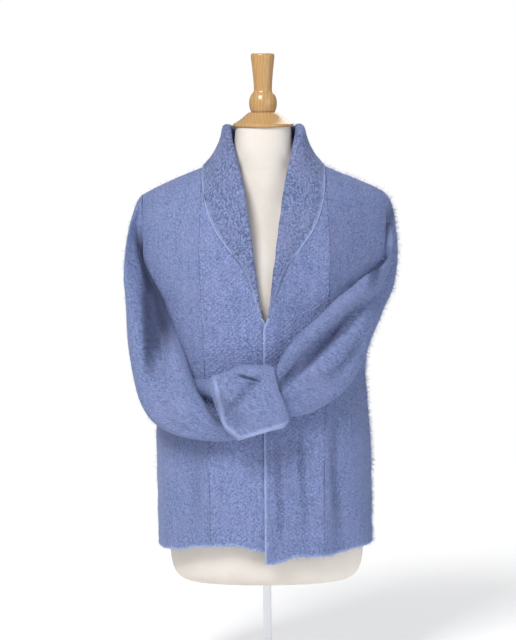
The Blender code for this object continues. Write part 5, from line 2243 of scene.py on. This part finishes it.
@dataclass
class Cardigan:
    """The whole cardigan: its panels, bands, collar and knotted sleeves."""

    halo: FibreHalo = field(default_factory=FibreHalo)

    def pieces(self) -> list[KnitPiece]:
        """The pieces in the order that they are sewn.

        Returns:
            The pieces.
        """
        right = dict(flank=Flank.RIGHT, hem=RIGHT_HEM)
        left = dict(flank=Flank.LEFT, hem=LEFT_HEM)
        front = dict(columns=58, free_edges=("first_row",), seam_edges=("first_column",))
        front.update(flat=(0.20, 0.80), area=0.12)
        band = dict(stitch=Stitch.MOSS, columns=46, from_last_column=True)
        band.update(free_edges=("first_row", "first_column"), seam_edges=("last_column",))
        band.update(flat=(0.12, 0.80), area=0.08)
        sleeve = dict(closed=True, hold=Hold.DRAPED, free_edges=("last_row",))
        return [
            BackPanel(
                "back_knit", "back", side=1, hem=BACK_HEM, columns=190, free_edges=("first_row",),
                creases=BACK_CREASES, flat=(0.62, 0.80), area=0.40, seed=11,
            ),
            SideFront(
                "right_front_knit", "right_front", creases=RIGHT_FRONT_CREASES, seed=12,
                **front, **right,
            ),
            SideFront(
                "left_front_knit", "left_front", creases=LEFT_FRONT_CREASES, seed=13,
                **front, **left,
            ),
            FrontBand(
                "right_band_knit", "right_band", edge_x=-0.006, lift=0.0, seed=14,
                **band, **right,
            ),
            FrontBand(
                "left_band_knit", "left_band", edge_x=-0.004, lift=0.0038, seed=15,
                creases=LEFT_BAND_CREASES, **band, **left,
            ),
            ShawlCollar(
                "shawl_collar_knit", "shawl_collar", stitch=Stitch.MOSS, hold=Hold.FOLDED,
                rests_on=("right_band_knit", "left_band_knit", "back_knit"),
                free_edges=("last_column",), from_last_column=True, tone=0.06, pebbled=True,
                flat=(0.20, 1.10), area=0.10, seed=16,
            ),
            KnottedSleeve(
                "right_sleeve_knit", "right_sleeve", flank=Flank.RIGHT, rows=RIGHT_SLEEVE, stride=2,
                thick=0.0011, rings=260, corner=0.020, head_ridge=0.025, bead=0.0028,
                bead_reach=0.0095, creases=RIGHT_SLEEVE_CREASES, rests_on=("left_sleeve_knit",),
                flat=(0.48, 0.90), area=0.18, seed=17, **sleeve,
            ),
            KnottedSleeve(
                "left_sleeve_knit", "left_sleeve", flank=Flank.LEFT, rows=LEFT_SLEEVE, stride=4,
                rings=200, creases=LEFT_SLEEVE_CREASES, rests_on=("right_sleeve_knit",),
                flat=(0.48, 0.74), area=0.14, seed=18, **sleeve,
            ),
        ]

    def build(self) -> None:
        """Knits each piece and sets it in the frame."""
        finishes = (STOCKING_KNIT, MOSS_KNIT, PEBBLED_KNIT, YARN, FIBRE)
        materials = Materials(*(finish.material() for finish in finishes))
        for piece in self.pieces():
            piece.build(materials, self.halo)


def loft(name: str, rings: np.ndarray, material: bpy.types.Material) -> bpy.types.Object:
    """A smooth solid through rings of points, closed by a face at both ends.

    Args:
        name: name of the piece.
        rings: rings by points, anticlockwise from above, from the bottom to the top.
        material: its finish.

    Returns:
        The object.
    """
    count, sides = rings.shape[:2]
    faces = [
        [(r + i) * sides + (c + j) % sides for i, j in ((0, 0), (0, 1), (1, 1), (1, 0))]
        for r in range(count - 1)
        for c in range(sides)
    ]
    faces.append(list(range(sides))[::-1])
    faces.append([(count - 1) * sides + c for c in range(sides)])
    mesh = bpy.data.meshes.new(name)
    mesh.from_pydata(rings.reshape(-1, 3).tolist(), [], faces)
    mesh.shade_smooth()
    mesh.set_sharp_from_angle(angle=math.radians(SHARP_ANGLE))
    mesh.materials.append(material)
    return new_object(name, mesh)


@dataclass
class TurnedPiece:
    """A piece turned on a lathe, from its profile."""

    name: str
    node: str
    slot: str
    profile: tuple[TurnedRow, ...]
    sides: int = 96
    steps: int = 6
    easing: int = 5

    def rings(self) -> np.ndarray:
        """Rings of the profile, with its corners eased.

        Returns:
            The rings.
        """
        rows = np.array(self.profile)
        at = np.linspace(0, len(rows) - 1, (len(rows) - 1) * self.steps + 1)
        line = np.stack([np.interp(at, np.arange(len(rows)), rows[:, k]) for k in (0, 1)], -1)
        line = softened(line, self.easing)
        upward = np.array([0, 0, 1]) * line[:, None, 1:]
        return line[:, None, :1] * circle(self.sides)[None] + upward

    def build(self, material: bpy.types.Material) -> bpy.types.Object:
        """Makes the piece and sets it in the frame.

        Args:
            material: its finish.

        Returns:
            The piece.
        """
        made = loft(self.name, self.rings(), material)
        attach(made, BODY)
        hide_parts(self.node)
        LOG.info("%s: %d faces", self.name, len(made.data.polygons))
        return made


@dataclass
class DressForm:
    """The limbless form, its turned cap and finial, and its stand."""

    power: float = 2.25
    sides: int = 144
    rings: int = 190
    bottom_z: float = 0.178
    rim: float = 0.010
    bore: float = 0.0083
    socket_depth: float = 0.040
    easing: int = 5

    def ring(self, row: FormRow) -> np.ndarray:
        """Ring of the form.

        Args:
            row: the row of the form's table.

        Returns:
            The ring.
        """
        turn = turns(self.sides)
        wide, deep = squared(np.cos(turn), self.power), squared(np.sin(turn), self.power)
        depth = np.where(deep < 0, row.front, row.back)
        return np.stack([row.half * wide, depth * deep, np.full(self.sides, row.z)], -1)

    def over_neck_root(self, rings: np.ndarray) -> np.ndarray:
        """Rings widened, near the shoulders, to the neck that is carried down into them.

        Args:
            rings: rings of points.

        Returns:
            The widened rings.
        """
        x, y, z = rings[..., 0], rings[..., 1], rings[..., 2]
        deep = np.where(y < 0, along(NECK_ROOT, "front", z), along(NECK_ROOT, "back", z))
        reach = np.hypot(x / along(NECK_ROOT, "half", z), y / deep)
        grow = np.where(z > NECK_ROOT[0].z, np.maximum(1.0, 1 / reach), 1.0)
        return np.stack([x * grow, y * grow, z], -1)

    def torso(self, material: bpy.types.Material) -> bpy.types.Object:
        """The torso, with the pole's socket in its underside.

        Args:
            material: its finish.

        Returns:
            The torso.
        """
        low = FORM_ROWS[0]
        rim = FormRow(self.bottom_z, low.half - self.rim, low.front - self.rim, low.back - self.rim)
        rows = np.array([self.ring(row) for row in (rim, *FORM_ROWS)])
        hole = self.bore * circle(self.sides)
        bore = [hole + np.array([0, 0, self.bottom_z + d]) for d in (self.socket_depth, 0.0)]
        body = softened(self.over_neck_root(resampled(rows, self.rings)), self.easing)
        rings = np.concatenate([np.array(bore), body])
        return loft("form_torso_jersey", rings, material)

    def build(self) -> None:
        """Makes the form and its stand, and sets them in the frame."""
        torso = self.torso(JerseyFinish().material())
        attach(torso, BODY)
        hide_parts("form_torso")
        LOG.info("%s: %d faces", torso.name, len(torso.data.polygons))
        wood, steel = WoodFinish().material(), SteelFinish().material()
        for name, slot, material, turned in (
            ("wood", "turned_wood", wood, (("neck_cap", NECK_CAP, 96, 3), ("finial", FINIAL, 96, 5))),
            ("steel", "stand_steel", steel, (
                ("pole", POLE, 48, 0),
                ("pole_socket", SOCKET, 96, 2),
                ("base_plate", BASE_PLATE, 96, 3),
            )),
        ):
            for node, profile, sides, easing in turned:
                piece = TurnedPiece(f"{node}_{name}", node, slot, profile, sides, easing=easing)
                piece.build(material)


@dataclass
class Studio:
    """The pale floor, the soft light and the camera at the photograph's angle."""

    eye: Point = (-0.013, -5.0, 1.2)
    target: Point = (-0.013, 0.0, 0.672)
    roll: float = -0.5
    floor_pale: Colour = (0.96, 0.96, 0.96)
    floor_deep: Colour = (0.93, 0.93, 0.93)
    floor_glow: float = 0.26
    lens: float = 148.85
    floor_half: float = 2.4
    ambient: float = 0.30

    def camera(self) -> None:
        """Sets the camera."""
        ahead = (Vector(self.target) - Vector(self.eye)).normalized()
        right = ahead.cross(Vector((0, 0, 1))).normalized()
        up = right.cross(ahead)
        turn = math.radians(self.roll)
        x_axis = right * math.cos(turn) + up * math.sin(turn)
        y_axis = up * math.cos(turn) - right * math.sin(turn)
        data = bpy.data.cameras.new("camera")
        data.lens = self.lens
        made = new_object("camera", data)
        frame_of = Matrix((x_axis, y_axis, -ahead)).transposed().to_4x4()
        made.matrix_world = Matrix.Translation(self.eye) @ frame_of
        bpy.context.scene.camera = made

    def floor(self) -> None:
        """Lays the pale floor."""
        half = self.floor_half
        mesh = bpy.data.meshes.new("floor")
        corners = [(-half, -half, 0), (half, -half, 0), (half, half, 0), (-half, half, 0)]
        mesh.from_pydata(corners, [], [(0, 1, 2, 3)])
        made, board, shader = new_material("pale_floor")
        place = board.place()
        board.wire(shader, {
            "Base Color": board.blend(board.noise(place, 3.0), self.floor_deep, self.floor_pale),
            "Roughness": 0.9,
            "Specular IOR Level": 0.0,
            "Emission Color": (1.0, 1.0, 1.0, 1.0),
            "Emission Strength": self.floor_glow,
        })
        mesh.materials.append(made)
        new_object("floor", mesh)

    def lamp(
        self,
        name: str,
        place: Point,
        size: float,
        power: float,
        aim: Point,
        tint: Colour = (1.0, 1.0, 1.0),
    ) -> None:
        """Adds a soft square light.

        Args:
            name: its name.
            place: where it hangs.
            size: the length of its side.
            power: its power in watts.
            aim: the point that it faces.
            tint: its colour.
        """
        data = bpy.data.lights.new(name, "AREA")
        data.color = tint
        data.size, data.energy = size, power
        made = new_object(name, data)
        made.location = place
        made.rotation_euler = (Vector(aim) - Vector(place)).to_track_quat("-Z", "Y").to_euler()

    def light(self) -> None:
        """Hangs the lights and sets the white surroundings."""
        self.lamp("key", (-1.3, -2.4, 3.4), 1.3, 122.0, (0, 0, 0.6))
        self.lamp("fill", (2.4, -2.6, 1.3), 2.4, 30.0, (0, 0, 0.5), (0.84, 0.90, 1.0))
        self.lamp("behind", (0.6, 3.2, 2.8), 2.4, 45.0, (0, 0, 0.7))
        world = bpy.data.worlds.new("studio")
        world.use_nodes = True
        board = NodeBoard(world.node_tree)
        sky = world.node_tree.nodes["Background"]
        seen = board.add("ShaderNodeLightPath").outputs["Is Camera Ray"]
        strength = board.sum("MULTIPLY_ADD", seen, 1.0 - self.ambient, self.ambient)
        board.wire(sky, {"Strength": strength, "Color": (1.0, 1.0, 1.0, 1.0)})
        bpy.context.scene.world = world
        bpy.context.scene.view_settings.view_transform = "Standard"

    def build(self) -> None:
        """Sets the camera, the floor and the light."""
        self.camera()
        self.floor()
        self.light()


def main() -> None:
    """Builds the studio, the form and the cardigan."""
    logging.basicConfig(level=logging.INFO, format="%(name)s %(message)s", stream=sys.stdout)
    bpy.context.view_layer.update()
    Studio().build()
    DressForm().build()
    Cardigan().build()


if __name__ == "__main__":
    main()
